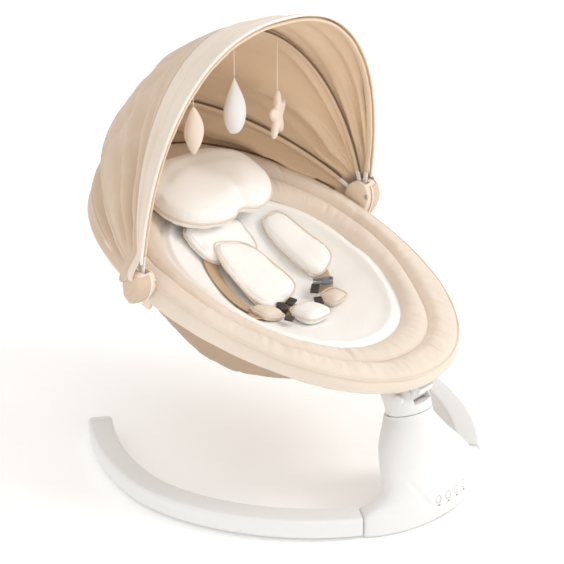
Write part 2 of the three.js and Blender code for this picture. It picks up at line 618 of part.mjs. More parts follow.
const SEAM = 0.4;
const panels = {
  canopy_front_panel: [{ bow: BOWS.mid, side: SEAM, rise: 0 }, { bow: BOWS.front, side: 4.5, rise: 2.5 }],
  canopy_mid_panel: [{ bow: BOWS.rear, side: SEAM, rise: 0 }, { bow: BOWS.mid, side: -SEAM, rise: 0 }],
  canopy_rear_panel: [{ bow: CANOPY_HEM, side: 0, rise: 0 }, { bow: BOWS.rear, side: -SEAM, rise: 0 }],
};
for (const [name, [from, to]] of Object.entries(panels)) {
  add(name, placed(panel(from, to), hubFrame), name.includes('rear') ? 'shadeFabric' : 'beigeFabric');
}

// ---------------------------------------------------------------- hanging toys

const STRING_RADIUS = 0.9;

function midBowUnder(x) {
  const cosine = (Math.abs(x) / BOWS.mid.x) ** (BOWS.mid.power / 2);
  const share = Math.acos(Math.sign(x) * cosine) / Math.PI;
  return bowPoint(BOWS.mid, share, 0, 0).add(vec(0, HUB.y, HUB.z - BOW.width / 2 - 0.6));
}

// A body turned about the string's line: half-width at even steps from its top down.
function toyLathe(profile, height, flatten) {
  const points = profile.map((radius, i) => new THREE.Vector2(radius, -(height * i) / (profile.length - 1)));
  return new THREE.LatheGeometry(points.toReversed(), 20).rotateX(Math.PI / 2).scale(1, flatten, 1);
}

function starToy(outer, inner, thickness) {
  const shape = new THREE.Shape(range(10).map((i) => {
    const angle = (Math.PI * i) / 5;
    const radius = i % 2 ? inner : outer;
    return new THREE.Vector2(radius * Math.sin(angle), radius * Math.cos(angle));
  }));
  const settings = { depth: thickness / 2, bevelThickness: thickness / 4, bevelSize: 3, bevelOffset: -3, bevelSegments: 1 };
  return new THREE.ExtrudeGeometry(shape, settings).translate(0, -outer, -thickness / 4).rotateX(Math.PI / 2);
}

const TOYS = {
  moon: { x: -88, drop: 66, paint: 'beigeFabric', shape: toyLathe([0, 10, 15, 17, 16, 12, 0], 74, 0.6) },
  drop: { x: 0, drop: 66, paint: 'creamFabric', shape: toyLathe([0, 9, 16, 20, 22, 18, 0], 88, 0.6) },
  star: { x: 88, drop: 78, paint: 'beigeFabric', shape: starToy(40, 19, 16).rotateZ(rad(28)) },
};
for (const [name, toy] of Object.entries(TOYS)) {
  const top = midBowUnder(toy.x);
  add(`${name}_string`, rod(STRING_RADIUS, -toy.drop, 0, 8).translate(top.x, top.y, top.z), 'creamFabric');
  add(`${name}_toy`, toy.shape.translate(top.x, top.y, top.z - toy.drop - GAP), toy.paint);
}

swing.position.y = MODEL_SHIFT;

export default swing;
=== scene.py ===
"""A baby swing: ring base and column, padded hammock seat, harness, folding canopy and hanging toys.

Lengths are metres. Shapes of the seat are worked out in the seat's own frame: x to the right, "along"
towards the head and "level" square to the rim, with the canopy hinge axis as its origin.
"""
import json
import math

import bmesh
import bpy
import numpy as np
from mathutils import Matrix, Vector, kdtree


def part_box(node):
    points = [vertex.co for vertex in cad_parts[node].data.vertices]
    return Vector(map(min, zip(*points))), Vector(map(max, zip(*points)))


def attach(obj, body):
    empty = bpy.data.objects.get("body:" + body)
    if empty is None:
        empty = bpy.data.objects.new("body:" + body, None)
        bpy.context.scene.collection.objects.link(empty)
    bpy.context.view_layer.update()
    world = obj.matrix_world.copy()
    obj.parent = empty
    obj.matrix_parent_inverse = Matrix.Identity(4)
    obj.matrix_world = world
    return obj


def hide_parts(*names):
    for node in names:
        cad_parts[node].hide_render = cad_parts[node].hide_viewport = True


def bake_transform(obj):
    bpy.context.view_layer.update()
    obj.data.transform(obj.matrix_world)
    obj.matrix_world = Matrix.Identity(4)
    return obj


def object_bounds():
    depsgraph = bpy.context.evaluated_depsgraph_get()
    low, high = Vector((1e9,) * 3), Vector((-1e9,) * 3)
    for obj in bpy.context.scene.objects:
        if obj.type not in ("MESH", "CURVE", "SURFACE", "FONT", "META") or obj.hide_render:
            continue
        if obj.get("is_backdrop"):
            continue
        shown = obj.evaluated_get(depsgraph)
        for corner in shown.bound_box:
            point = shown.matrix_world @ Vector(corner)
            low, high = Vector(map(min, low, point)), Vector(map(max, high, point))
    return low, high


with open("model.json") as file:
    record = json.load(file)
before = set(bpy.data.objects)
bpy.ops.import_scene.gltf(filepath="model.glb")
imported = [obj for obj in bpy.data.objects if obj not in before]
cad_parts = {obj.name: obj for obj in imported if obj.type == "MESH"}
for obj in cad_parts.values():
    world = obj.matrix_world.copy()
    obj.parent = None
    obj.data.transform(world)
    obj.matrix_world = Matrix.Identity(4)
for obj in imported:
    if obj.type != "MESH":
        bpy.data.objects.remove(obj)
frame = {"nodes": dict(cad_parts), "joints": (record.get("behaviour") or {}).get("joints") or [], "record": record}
cad_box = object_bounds()
MM = 0.001
SIDES = (("left", -1), ("right", 1))

# ---------------------------------------------------------------- frames worked out from the joints

joints = {joint["name"]: joint for joint in frame["joints"]}
HUB = np.array(joints["canopy_fold"]["pos_m"])
SWING = np.array(joints["swing"]["pos_m"])
SHIFT = SWING[1] + 0.250            # how far the model stands from the ring's own centre, along Y
SEAT_TILT = math.radians(17)
LEAN = math.radians(18)
seat_frame = Matrix.Translation(HUB) @ Matrix.Rotation(SEAT_TILT, 4, "X")
swing_frame = Matrix.Translation(SWING) @ Matrix.Rotation(-LEAN, 4, "X")
hub_frame = Matrix.Translation(HUB)
ring_frame = Matrix.Translation((0, SHIFT, 0))


def placed(points, matrix):
    """Points as an array of any shape, moved by a matrix."""
    m = np.array(matrix)
    return np.asarray(points, float) @ m[:3, :3].T + m[:3, 3]


def shifted(x, y, z):
    """A move by millimetres."""
    return Matrix.Translation(Vector((x, y, z)) * MM)


def circle(count):
    """Angles evenly round a circle."""
    return np.arange(count) * 2 * math.pi / count


def bell(value, middle, width):
    """A bump of height 1 at the middle, fading over its width."""
    return np.exp(-(((value - middle) / width) ** 2))


def unit(vectors):
    return vectors / np.linalg.norm(vectors, axis=-1, keepdims=True)


def raised(flat, height):
    """Flat places with a third coordinate: one height for all, or one for each."""
    flat = np.asarray(flat, float)
    return np.concatenate([flat, np.broadcast_to(height, flat.shape[:-1])[..., None]], -1)


# ---------------------------------------------------------------- camera and studio

def make_camera():
    azimuth, elevation, distance = math.radians(-47.19), math.radians(23.70), 2.08175
    target = Vector((0.0, -0.0016 + SHIFT, 0.2636))
    back = Vector((
        math.sin(azimuth) * math.cos(elevation),
        -math.cos(azimuth) * math.cos(elevation),
        math.sin(elevation),
    ))
    data = bpy.data.cameras.new("camera")
    data.lens = 88.02
    data.sensor_width = 36
    camera = bpy.data.objects.new("camera", data)
    camera.location = target + back * distance
    camera.rotation_euler = back.to_track_quat("Z", "Y").to_euler()
    bpy.context.scene.collection.objects.link(camera)
    bpy.context.scene.camera = camera


def make_area_light(name, place, target, size, power):
    data = bpy.data.lights.new(name, "AREA")
    data.shape = "DISK"
    data.size = size
    data.energy = power
    light = bpy.data.objects.new(name, data)
    light.location = place
    light.rotation_euler = (Vector(place) - Vector(target)).to_track_quat("Z", "Y").to_euler()
    bpy.context.scene.collection.objects.link(light)


def make_studio():
    scene = bpy.context.scene
    scene.view_settings.view_transform = "Standard"
    scene.view_settings.exposure = 0.0
    world = bpy.data.worlds.new("studio")
    world.use_nodes = True
    background = world.node_tree.nodes["Background"]
    background.inputs["Color"].default_value = (1.0, 0.99, 0.975, 1)
    background.inputs["Strength"].default_value = 0.92
    scene.world = world
    middle = (0, 0, 0.3)
    make_area_light("key", (1.3, -1.8, 2.1), middle, 1.2, 27)
    make_area_light("fill", (-2.2, -1.4, 1.1), middle, 2.2, 5)


# ---------------------------------------------------------------- materials

def node(tree, kind, inputs=(), **settings):
    """A shader node with its settings and the values of its inputs."""
    made = tree.nodes.new(kind)
    for key, value in settings.items():
        setattr(made, key, value)
    for key, value in dict(inputs).items():
        made.inputs[key].default_value = value
    return made


BANDS_PER_PITCH = 0.314     # the wave texture's scale for one thread in each pitch


def noise_texture(tree, coordinates, scale, detail=2):
    made = node(tree, "ShaderNodeTexNoise", {"Scale": scale, "Detail": detail})
    tree.links.new(coordinates.outputs["Object"], made.inputs["Vector"])
    return made.outputs["Fac"]


def add_relief(tree, shader, height, strength, distance):
    relief = node(tree, "ShaderNodeBump", {"Strength": strength, "Distance": distance * MM})
    tree.links.new(height, relief.inputs["Height"])
    tree.links.new(relief.outputs["Normal"], shader.inputs["Normal"])


def new_material(name, color, roughness):
    material = bpy.data.materials.new(name)
    material.use_nodes = True
    tree = material.node_tree
    shader = tree.nodes["Principled BSDF"]
    shader.inputs["Base Color"].default_value = (*color, 1)
    shader.inputs["Roughness"].default_value = roughness
    material.diffuse_color = (*color, 1)
    return material, tree, shader


def mottle(tree, shader, color, scale, amount):
    """Slow colour variation over the surface; gives back the texture coordinates."""
    coordinates = node(tree, "ShaderNodeTexCoord")
    ramp = node(tree, "ShaderNodeValToRGB")
    for element, place, change in zip(ramp.color_ramp.elements, (0.3, 0.7), (-amount, amount * 0.5)):
        element.position = place
        element.color = (*(min(c * (1 + change), 1) for c in color), 1)
    tree.links.new(noise_texture(tree, coordinates, scale, 4), ramp.inputs["Fac"])
    tree.links.new(ramp.outputs["Color"], shader.inputs["Base Color"])
    return coordinates


def fabric(name, color, pitch=1.1, bump=0.35, sheen=0.25, amount=0.05):
    """Woven or knitted cloth: threads every pitch millimetres along all three axes, fuzz and mottling."""
    material, tree, shader = new_material(name, color, 0.92)
    shader.inputs["Sheen Weight"].default_value = sheen
    shader.inputs["Sheen Roughness"].default_value = 0.5
    shader.inputs["Specular IOR Level"].default_value = 0.25
    coordinates = mottle(tree, shader, color, 11, amount)
    height = node(tree, "ShaderNodeMath", {1: 0.9}, operation="MULTIPLY")
    tree.links.new(noise_texture(tree, coordinates, 420, 5), height.inputs[0])
    for axis in "XYZ":
        settings = {"Scale": BANDS_PER_PITCH / (pitch * MM), "Distortion": 0.6, "Detail": 1}
        wave = node(tree, "ShaderNodeTexWave", settings, bands_direction=axis)
        tree.links.new(coordinates.outputs["Object"], wave.inputs["Vector"])
        both = node(tree, "ShaderNodeMath", operation="ADD")
        tree.links.new(height.outputs[0], both.inputs[0])
        tree.links.new(wave.outputs["Fac"], both.inputs[1])
        height = both
    add_relief(tree, shader, height.outputs[0], bump, 0.25)
    return material


def plastic(name, color, roughness=0.34, grain=900, bump=0.04):
    """Moulded plastic: fine grain in the surface and a slight change of gloss."""
    material, tree, shader = new_material(name, color, roughness)
    shader.inputs["Specular IOR Level"].default_value = 0.45
    coordinates = mottle(tree, shader, color, 6, 0.015)
    gloss = node(tree, "ShaderNodeMapRange", {"To Min": roughness - 0.05, "To Max": roughness + 0.06})
    tree.links.new(noise_texture(tree, coordinates, 25), gloss.inputs["Value"])
    tree.links.new(gloss.outputs["Result"], shader.inputs["Roughness"])
    add_relief(tree, shader, noise_texture(tree, coordinates, grain, 3), bump, 0.2)
    return material


def metal(name, color):
    """Metal with a coarser grain than the plastic's."""
    material = plastic(name, color, 0.3, grain=300, bump=0.08)
    material.node_tree.nodes["Principled BSDF"].inputs["Metallic"].default_value = 1
    return material


MATERIALS = {
    "white_plastic": plastic("white plastic", (0.81, 0.805, 0.795)),
    "beige_plastic": plastic("beige plastic", (0.84, 0.71, 0.58), 0.42),
    "dark_plastic": plastic("dark plastic", (0.055, 0.045, 0.04), 0.45),
    "grey_plastic": plastic("grey plastic", (0.19, 0.22, 0.25), 0.42),
    "steel": metal("steel", (0.62, 0.63, 0.65)),
    "hoop_metal": metal("hoop metal", (0.62, 0.63, 0.65)),
    "copper": metal("copper wire", (0.72, 0.38, 0.2)),
    "board": plastic("board", (0.03, 0.16, 0.07), 0.55),
    "rubber": plastic("rubber", (0.07, 0.065, 0.06), 0.8, grain=500, bump=0.3),
    "beige_fabric": fabric("beige cloth", (0.81, 0.70, 0.592)),
    "shade_fabric": fabric("canopy lining", (0.75, 0.565, 0.39), pitch=0.9),
    "cream_fabric": fabric("cream cloth", (0.965, 0.95, 0.925), pitch=1.3, bump=0.3, amount=0.015),
    # The straps' webbing: tan, darkened as painted shade of the gaps between the pads and the insert where the
    # straps lie
    "webbing": fabric("webbing", (0.62, 0.44, 0.28), pitch=1.6, bump=0.8, sheen=0.1),
}
PIPING = fabric("piping", (0.82, 0.70, 0.58), pitch=0.8, bump=0.5)
EDGE_PIPING = fabric("edge piping", (0.93, 0.87, 0.79), pitch=0.8, bump=0.5)
THREAD = fabric("thread", (0.72, 0.57, 0.43), pitch=0.4, bump=0.5)
# A very dark brown for thin tubes along the canopy's seams: painted shade of the creases there
SEAM_CREASE_SHADE = fabric("seam crease shade", (0.20, 0.12, 0.07), pitch=0.9, bump=0.5)
# The canopy's outer face away from the key light: the beige cloth darkened as painted shade, for the middle and
# rear panels and the hub flaps
SHADED_CANOPY_CLOTH = fabric("canopy cloth", (0.66, 0.51, 0.385), pitch=0.9)
CASING = fabric("bow casing", (0.80, 0.62, 0.45), pitch=0.9)
# The hammock's outer cloth: its own tan, darkened further as painted shade of the occluded underside
TAN_AND_SHADED_UNDERSIDE = fabric("seat underside", (0.46, 0.315, 0.20), pitch=1.0)

# ---------------------------------------------------------------- mesh helpers


def mesh_object(name, points, faces, material, sharp_angle=None, kinds=None):
    """A mesh object from points and faces, shaded smooth; edges above sharp_angle degrees stay sharp.

    Material may be a list, and kinds then says which of them each face takes.
    """
    mesh = bpy.data.meshes.new(name)
    mesh.from_pydata([tuple(p) for p in np.asarray(points, float).reshape(-1, 3)], [], faces)
    for one in material if isinstance(material, list) else [material]:
        mesh.materials.append(one)
    if kinds is not None:
        mesh.polygons.foreach_set("material_index", kinds)
    mesh.validate()
    made = bpy.data.objects.new(name, mesh)
    bpy.context.scene.collection.objects.link(made)
    finish_mesh(made, sharp_angle)
    return made


def finish_mesh(made, sharp_angle=None):
    """Faces point out, shading is smooth, and edges above sharp_angle degrees are marked sharp."""
    work = bmesh.new()
    work.from_mesh(made.data)
    bmesh.ops.remove_doubles(work, verts=work.verts, dist=1e-6)
    bmesh.ops.recalc_face_normals(work, faces=work.faces)
    for face in work.faces:
        face.smooth = True
    if sharp_angle is not None:
        for edge in work.edges:
            edge.smooth = len(edge.link_faces) == 2 and edge.calc_face_angle(0) < math.radians(sharp_angle)
    work.to_mesh(made.data)
    work.free()


def grid_faces(rows, columns, wrap_rows=False, wrap_columns=False):
    faces = []
    for i in range(rows if wrap_rows else rows - 1):
        below = (i + 1) % rows * columns
        here = i * columns
        for j in range(columns if wrap_columns else columns - 1):
            k = (j + 1) % columns
            faces.append((here + j, here + k, below + k, below + j))
    return faces


def loft(name, rings, material, capped=True, wrap_rows=False, sharp_angle=None):
    """Closed rings of points joined in order, with a fan over each end when capped."""
    rings = np.asarray(rings, float)
    rows, columns = rings.shape[:2]
    points = rings.reshape(-1, 3)
    faces = grid_faces(rows, columns, wrap_rows, True)
    if capped and not wrap_rows:
        centres = np.array([rings[0].mean(0), rings[-1].mean(0)])
        points = np.concatenate([points, centres])
        for centre, start in ((rows * columns, 0), (rows * columns + 1, (rows - 1) * columns)):
            faces += [(centre, start + j, start + (j + 1) % columns) for j in range(columns)]
    return mesh_object(name, points, faces, material, sharp_angle)


def grid_normals(surface):
    """Unit normals of an array of rows and columns of points."""
    normals = np.cross(np.gradient(surface, axis=1), np.gradient(surface, axis=0))
    length = np.linalg.norm(normals, axis=2, keepdims=True)
    return normals / np.maximum(length, 1e-12)


def thick_sheet(name, surface, thickness, outside, lining, centre):
    """A closed sheet of cloth from the points of its middle surface; its lining faces the centre."""
    normals = grid_normals(surface)
    away = np.sum(normals * (surface - np.asarray(centre))) > 0
    offset = normals * thickness / 2 * (1 if away else -1)
    rows, columns = surface.shape[:2]
    top = grid_faces(rows, columns)
    shift = rows * columns
    under = [tuple(i + shift for i in reversed(face)) for face in top]
    edge = list(range(columns))
    edge += [i * columns + columns - 1 for i in range(1, rows)]
    edge += [(rows - 1) * columns + j for j in range(columns - 2, -1, -1)]
    edge += [i * columns for i in range(rows - 2, 0, -1)]
    sides = [(a, b, b + shift, a + shift) for a, b in zip(edge, edge[1:] + edge[:1])]
    points = np.concatenate([(surface + offset).reshape(-1, 3), (surface - offset).reshape(-1, 3)])
    kinds = [0] * len(top) + [1] * len(under) + [0] * len(sides)
    return mesh_object(name, points, top + under + sides, [outside, lining], kinds=kinds)


def frames_along(path, closed=False):
    """Two unit vectors square to a path at each of its points, turning as little as they can."""
    path = np.asarray(path, float)
    if closed:
        tangents = np.roll(path, -1, 0) - np.roll(path, 1, 0)
    else:
        tangents = np.gradient(path, axis=0)
    tangents = unit(tangents)
    side = np.cross(tangents[0], (0.0, 0.0, 1.0))
    if np.linalg.norm(side) < 0.1:
        side = np.cross(tangents[0], (1.0, 0.0, 0.0))
    sides = []
    for tangent in tangents:
        side = unit(side - tangent * side.dot(tangent))
        sides.append(side)
    sides = np.array(sides)
    return sides, np.cross(tangents, sides)


def tube(name, path, radius, material, closed=False, sides=10):
    """A round tube along a path, with rounded ends unless it is closed."""
    path = np.asarray(path, float)
    sides_, ups = frames_along(path, closed)
    angles = circle(sides)
    ring = lambda i, scale: path[i] + radius * scale * (
        np.cos(angles)[:, None] * sides_[i] + np.sin(angles)[:, None] * ups[i])
    rings = [ring(i, 1.0) for i in range(len(path))]
    if not closed:
        first = unit(path[0] - path[1])
        last = unit(path[-1] - path[-2])
        rings = [ring(0, 0.6) + first * radius * 0.8] + rings + [ring(-1, 0.6) + last * radius * 0.8]
    return loft(name, rings, material, capped=not closed, wrap_rows=closed)


def band(name, path, across, width, material):
    """A flat strap: a rounded section swept along a path, lying along the across vectors."""
    height = 1.8
    ups = unit(np.cross(across, np.gradient(path, axis=0)))
    upper = [(-0.5, 0), (-0.47, 0.4), (-0.4, 0.5), (-0.2, 0.5), (0, 0.5), (0.2, 0.5), (0.4, 0.5), (0.47, 0.4)]
    section = upper + [(-u, -v) for u, v in upper]
    rings = [[place + (u * width * side + v * height * up) * MM for u, v in section]
             for place, side, up in zip(path, across, ups)]
    return loft(name, rings, material)


def smooth_curve(points, count, closed=False):
    """A Catmull-Rom curve through points, sampled evenly by parameter."""
    points = np.asarray(points, float)
    total = len(points)
    places = np.arange(count) * total / count if closed else np.linspace(0, total - 1, count)
    made = []
    for place in places:
        i = min(int(place), total - 1 if closed else total - 2)
        t = place - i
        if closed:
            a, b, c, d = (points[(i + k) % total] for k in (-1, 0, 1, 2))
        else:
            b, c = points[i], points[i + 1]
            a = points[i - 1] if i > 0 else 2 * b - c
            d = points[i + 2] if i + 2 < total else 2 * c - b
        curve = (2 * a - 5 * b + 4 * c - d) * t**2 + (3 * b - a - 3 * c + d) * t**3
        made.append(0.5 * (2 * b + (c - a) * t + curve))
    return np.array(made)


def value_noise(points, size, seed):
    """Smooth noise from -1 to 1 at points, with lumps of the given size."""
    lattice = np.random.default_rng(seed).uniform(-1, 1, (32, 32, 32))
    scaled = np.asarray(points, float) / size
    cell = np.floor(scaled).astype(int)
    t = scaled - cell
    t = t * t * (3 - 2 * t)
    total = 0
    for corner in range(8):
        bits = [(corner >> k) & 1 for k in range(3)]
        weight = 1
        for k, bit in enumerate(bits):
            weight = weight * (t[..., k] if bit else 1 - t[..., k])
        index = [(cell[..., k] + bit) % 32 for k, bit in enumerate(bits)]
        total = total + weight * lattice[index[0], index[1], index[2]]
    return total


def curved(value, power):
    return np.sign(value) * np.abs(value) ** power


def smoothstep(value, low, high):
    t = np.clip((value - low) / (high - low), 0, 1)
    return t * t * (3 - 2 * t)


def ride(piece, body, slot, *nodes):
    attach(piece, body)
    if nodes:
        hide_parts(*nodes)
    return piece


def soft(piece, fill, body, slot, *nodes):
    """A padded piece."""
    ride(piece, body, slot, *nodes)


# ---------------------------------------------------------------- seat shapes, in millimetres

RIM = {"x": 225, "foot": 346, "head": 294, "centre": -7, "power": 2.08}
INSERT = {"x": 152, "foot": 222, "head": 175, "centre": -30, "power": 2.12, "level": -24}


def outline(shape, angle, inset=0.0):
    """A point of a seat outline set in from its edge; angle 0 is the foot, and positive is the right."""
    angle = np.asarray(angle, float)
    length = np.where(np.cos(angle) > 0, shape["foot"], shape["head"])
    x = (shape["x"] - inset) * curved(np.sin(angle), 2 / shape["power"])
    along = shape["centre"] - (length - inset) * curved(np.cos(angle), 2 / shape["power"])
    return np.stack([x, along], -1)


def rim_point(angle, inset, share, level):
    """A point of the rim: set in from its edge, then a share of the way to the insert's edge."""
    share = share[..., None]
    return raised(outline(RIM, angle, inset) * (1 - share) + outline(INSERT, angle, -1.5) * share, level)


def hollow_depth(along, deepest, at_head, at_foot):
    hips = -75
    headward = smoothstep(along, hips, 230)
    footward = smoothstep(-along, -hips, 300)
    return deepest - (deepest - at_head) * headward - (deepest - at_foot) * footward


def insert_level(x, along):
    """Height of the insert's upper face at a place in the seat."""
    x, along = np.asarray(x, float), np.asarray(along, float)
    length = np.where(along < INSERT["centre"], INSERT["foot"], INSERT["head"])
    width = (np.abs(x) / (INSERT["x"] - 10)) ** INSERT["power"]
    run = (np.abs(along - INSERT["centre"]) / (length - 10)) ** INSERT["power"]
    reach = np.minimum((width + run) ** (1 / INSERT["power"]), 1)
    return INSERT["level"] - hollow_depth(along, 56, 12, 30) * (1 - reach**2.6)


def in_seat(points):
    return placed(np.asarray(points, float) * MM, seat_frame)


# ---------------------------------------------------------------- rim

# Inset, share and level round the rim's section: under the hoop, up the outer wall, over the two
# padded rings with the seam between them, and down to the insert.
RIM_SECTION = [
    (24, 0, -38), (12, 0, -41), (2, 0, -36), (-1, 0, -25), (0.5, 0, -13), (3, 0, -7.5), (6, 0, -4.5),
    (12, 0, -0.2), (18, 0.10, 2), (12, 0.30, 0.6), (6, 0.455, -8.5), (5, 0.49, -11), (5, 0.525, -8),
    (4, 0.65, -4.5), (2, 0.84, -8.5), (0, 0.97, -19), (2, 0.96, -25), (12, 0.6, -27), (22, 0.25, -31),
]
RIM_ROWS = 66
RIM_COLUMNS = 540
FLAT_SEAM = 0.49     # the seam between the rim's rings, as a share of the way to the insert


def rim_dart(angle, places, width):
    """Narrow tucks at places given in degrees round the rim."""
    return sum(bell((angle - math.radians(p) + math.pi) % (2 * math.pi), math.pi, width) for p in places)


def make_rim():
    section = smooth_curve(RIM_SECTION, RIM_ROWS, closed=True)
    turn = np.arange(RIM_ROWS) / RIM_ROWS * len(RIM_SECTION)
    angles = circle(RIM_COLUMNS)
    a, t = np.meshgrid(angles, turn)
    inset, share, level = (np.repeat(section[:, k][:, None], RIM_COLUMNS, 1) for k in range(3))
    at_foot = smoothstep(np.cos(a), 0.1, 0.8)
    short_wall = (t < 6) * (level < -9) * 0.28 * smoothstep(np.cos(a), 0.0, 0.7)
    level = level - (level + 9) * short_wall
    wide_at = sum(bell(a, math.radians(p), 0.35) for p in (50, 410))
    share = share + 0.5 * wide_at * share * np.clip(1 - share, 0, 1)
    points = rim_point(a, inset, share, level)
    outer_ring = bell(t, 8.3, 1.6)
    inner_ring = bell(t, 13.2, 1.3)
    wall = bell(t, 3.6, 1.8)
    arc = np.stack([np.cos(a) * 300, np.sin(a) * 300, t * 7], -1)
    gathers = np.clip(value_noise(arc * (1, 1, 0.25), 9, 3) + 0.2, 0, 1)
    slow = value_noise(arc, 60, 5)
    pulls = np.abs(value_noise(np.stack([a * 23, t * 0.35, a * 0], -1), 1.0, 14))
    lift = outer_ring * ((0.35 + at_foot) * -2.6 * gathers + 1.3 * slow - 1.8 * (1 - pulls) ** 5)
    lift += inner_ring * (1.2 * slow - 1.4 * at_foot * np.clip(value_noise(arc, 14, 8), 0, 1))
    lift -= inner_ring * 1.6 * (1 - pulls) ** 6
    lift += wall * (1.6 * value_noise(arc * (1, 1, 0.5), 26, 9))
    lift -= inner_ring * 2.6 * rim_dart(a, (26, -26), 0.012)
    lift -= outer_ring * 2.0 * rim_dart(a, (-5, -13, 9, 17, 30, 38), 0.012)
    lift -= outer_ring * 1.6 * rim_dart(a, (-78, -52, 64, 88), 0.02)
    points[..., 2] += lift
    rim = loft("rim_cover", in_seat(points), MATERIALS["beige_fabric"], capped=False, wrap_rows=True)
    soft(rim, 0.7, "seat", "beige_fabric", "rim_pad")

    edge = rim_point(angles, np.full(RIM_COLUMNS, 3.4), np.zeros(RIM_COLUMNS), -5.6)
    piping = tube("rim_piping", in_seat(edge), 1.3 * MM, PIPING, closed=True)
    ride(piping, "seat", "beige_fabric")
    wider = 0.5 * bell(angles, math.radians(50), 0.35) * FLAT_SEAM * (1 - FLAT_SEAM)
    seam = rim_point(angles, np.full(RIM_COLUMNS, 5.0), FLAT_SEAM + wider, -10.4)
    stitches("rim_stitches", in_seat(seam))


def stitches(name, path, radius=0.35):
    """A closed row of sewing stitches: short rounded threads along a path."""
    length, gap = 2.6 * MM, 1.4 * MM
    path = np.concatenate([path, path[:1]])
    steps = np.linalg.norm(np.diff(path, axis=0), axis=1)
    reached = np.concatenate([[0], np.cumsum(steps)])
    at = lambda s: np.array([np.interp(s, reached, path[:, k]) for k in range(3)])
    points, faces = [], []
    start = 0.0
    angles = circle(6)
    while start + length < reached[-1]:
        a, b = at(start), at(start + length)
        along = unit(b - a)
        side = unit(np.cross(along, (0.1, 0.2, 1.0)))
        up = np.cross(along, side)
        base = len(points)
        for share, scale in ((0, 0.3), (0.15, 1), (0.85, 1), (1, 0.3)):
            centre = a + (b - a) * share
            for angle in angles:
                offset = side * math.cos(angle) + up * math.sin(angle)
                points.append(centre + offset * radius * MM * scale)
        for i in range(3):
            for j in range(6):
                k = (j + 1) % 6
                faces.append((base + 6 * i + j, base + 6 * i + k, base + 6 * i + 6 + k, base + 6 * i + 6 + j))
        faces.append(tuple(base + j for j in range(5, -1, -1)))
        faces.append(tuple(base + 18 + j for j in range(6)))
        start += length + gap
    ride(mesh_object(name, points, faces, THREAD), "seat", "beige_fabric")


# ---------------------------------------------------------------- hammock and insert

def make_hammock():
    angles = circle(240)
    reach = np.linspace(1, 0.02, 64)[:, None]
    edge = outline(RIM, angles, 21)[None]
    x = edge[..., 0] * reach
    along = RIM["centre"] + (edge[..., 1] - RIM["centre"]) * reach
    surface = np.stack([x, along, -31 - hollow_depth(along, 132, 66, 54) * (1 - reach**4.0)], -1)
    a = np.arctan2(surface[..., 0], -surface[..., 1])
    low = smoothstep(-surface[..., 2], 40, 120)
    pulls = value_noise(np.stack([a * 6, surface[..., 2] / 60, a * 0], -1), 1.0, 12)
    surface[..., 2] += 3.4 * pulls * (1 - 0.5 * low)
    creases = np.abs(value_noise(np.stack([a * 9, surface[..., 2] / 90, a * 0], -1), 1.0, 15))
    surface[..., 2] += 2.6 * (1 - creases) ** 5
    inner = surface + (0, 0, 3)
    # The hammock's tan cloth is darkened as painted shade
    hammock = loft("seat_hammock", in_seat(np.concatenate([inner[::-1], surface])), TAN_AND_SHADED_UNDERSIDE)
    soft(hammock, 0.1, "seat", "beige_fabric", "hammock")


def make_insert():
    reach = np.linspace(0.02, 1, 70)
    angles = circle(300)
    edge = outline(INSERT, angles, 2.0)
    rows = []
    for r in reach:
        x = edge[:, 0] * r
        along = INSERT["centre"] + (edge[:, 1] - INSERT["centre"]) * r
        rows.append(np.stack([x, along, insert_level(x, along)], -1))
    top = np.array(rows)
    rim_roll = bell(reach, 0.95, 0.04)[:, None]
    lumps = value_noise(top * (1, 1, 0.3), 55, 21) * 1.6 + value_noise(top * (1, 1, 0.3), 22, 22) * 0.5
    top[..., 2] += lumps + 4.0 * rim_roll
    under = top[::-1].copy()
    under[..., 2] -= 8 * (1 - 0.75 * rim_roll[::-1])
    tucked = []
    for inset, drop in ((-1.8, -0.4), (-3.4, 0.8), (-4.2, 4.0), (-3.4, 8.0)):
        tucked.append(raised(outline(INSERT, angles, inset), top[-1, :, 2] - drop))
    under[..., 2] -= 1.5
    insert = loft("seat_liner", in_seat(np.concatenate([top, tucked, under])), MATERIALS["cream_fabric"])
    soft(insert, 0.35, "seat", "cream_fabric", "seat_insert")


# ---------------------------------------------------------------- pads and harness

def draped(points):
    """Flat places with their own heights, laid on the insert: x, along, height to x, along, level."""
    return raised(points[..., :2], insert_level(points[..., 0], points[..., 1]) + points[..., 2])


# The pads' corners (x, along) in the seat: head left, head right, foot right, foot left; with their
# thickness and their lift off the insert.
PADS = {
    "shoulder_pad_right": dict(corners=[(68, 66), (112, 64), (122, -58), (72, -74)], thick=13, lift=3),
    "shoulder_pad_left": dict(corners=[(-54, 58), (24, 38), (46, -66), (-56, -88)], thick=14, lift=10,
                              slope=0.10),
    "crotch_pad": dict(corners=[(-22, -96), (26, -98), (26, -150), (-28, -148)], thick=14, lift=3),
    "waist_pad_left": dict(corners=[(-82, -70), (-36, -74), (-38, -112), (-80, -108)], thick=14, lift=3),
    "waist_pad_right": dict(corners=[(40, -98), (74, -100), (72, -136), (40, -136)], thick=13, lift=3),
}
FOLDED_HALF = dict(corners=[(-82, 98), (40, 98), (42, 20), (-66, 28)], thick=15, lift=3)
# Inset in millimetres and share of the thickness up a pad's wall; scale and share up the pillow's wall.
PAD_WALL = [(7.0, 0.0), (3.0, 0.02), (0.8, 0.14), (0.0, 0.34), (0.3, 0.55), (1.7, 0.76), (4.0, 0.9),
            (7.0, 0.98)]
PILLOW_WALL = [(0.93, 0.0), (0.97, 0.05), (0.992, 0.18), (1.0, 0.36), (0.995, 0.52), (0.975, 0.68),
               (0.94, 0.80)]


PUFF = {"voxel": 4.5, "quality": 5, "mass": 0.15, "bending": 0.4, "pressure": 4.0, "frames": 20}


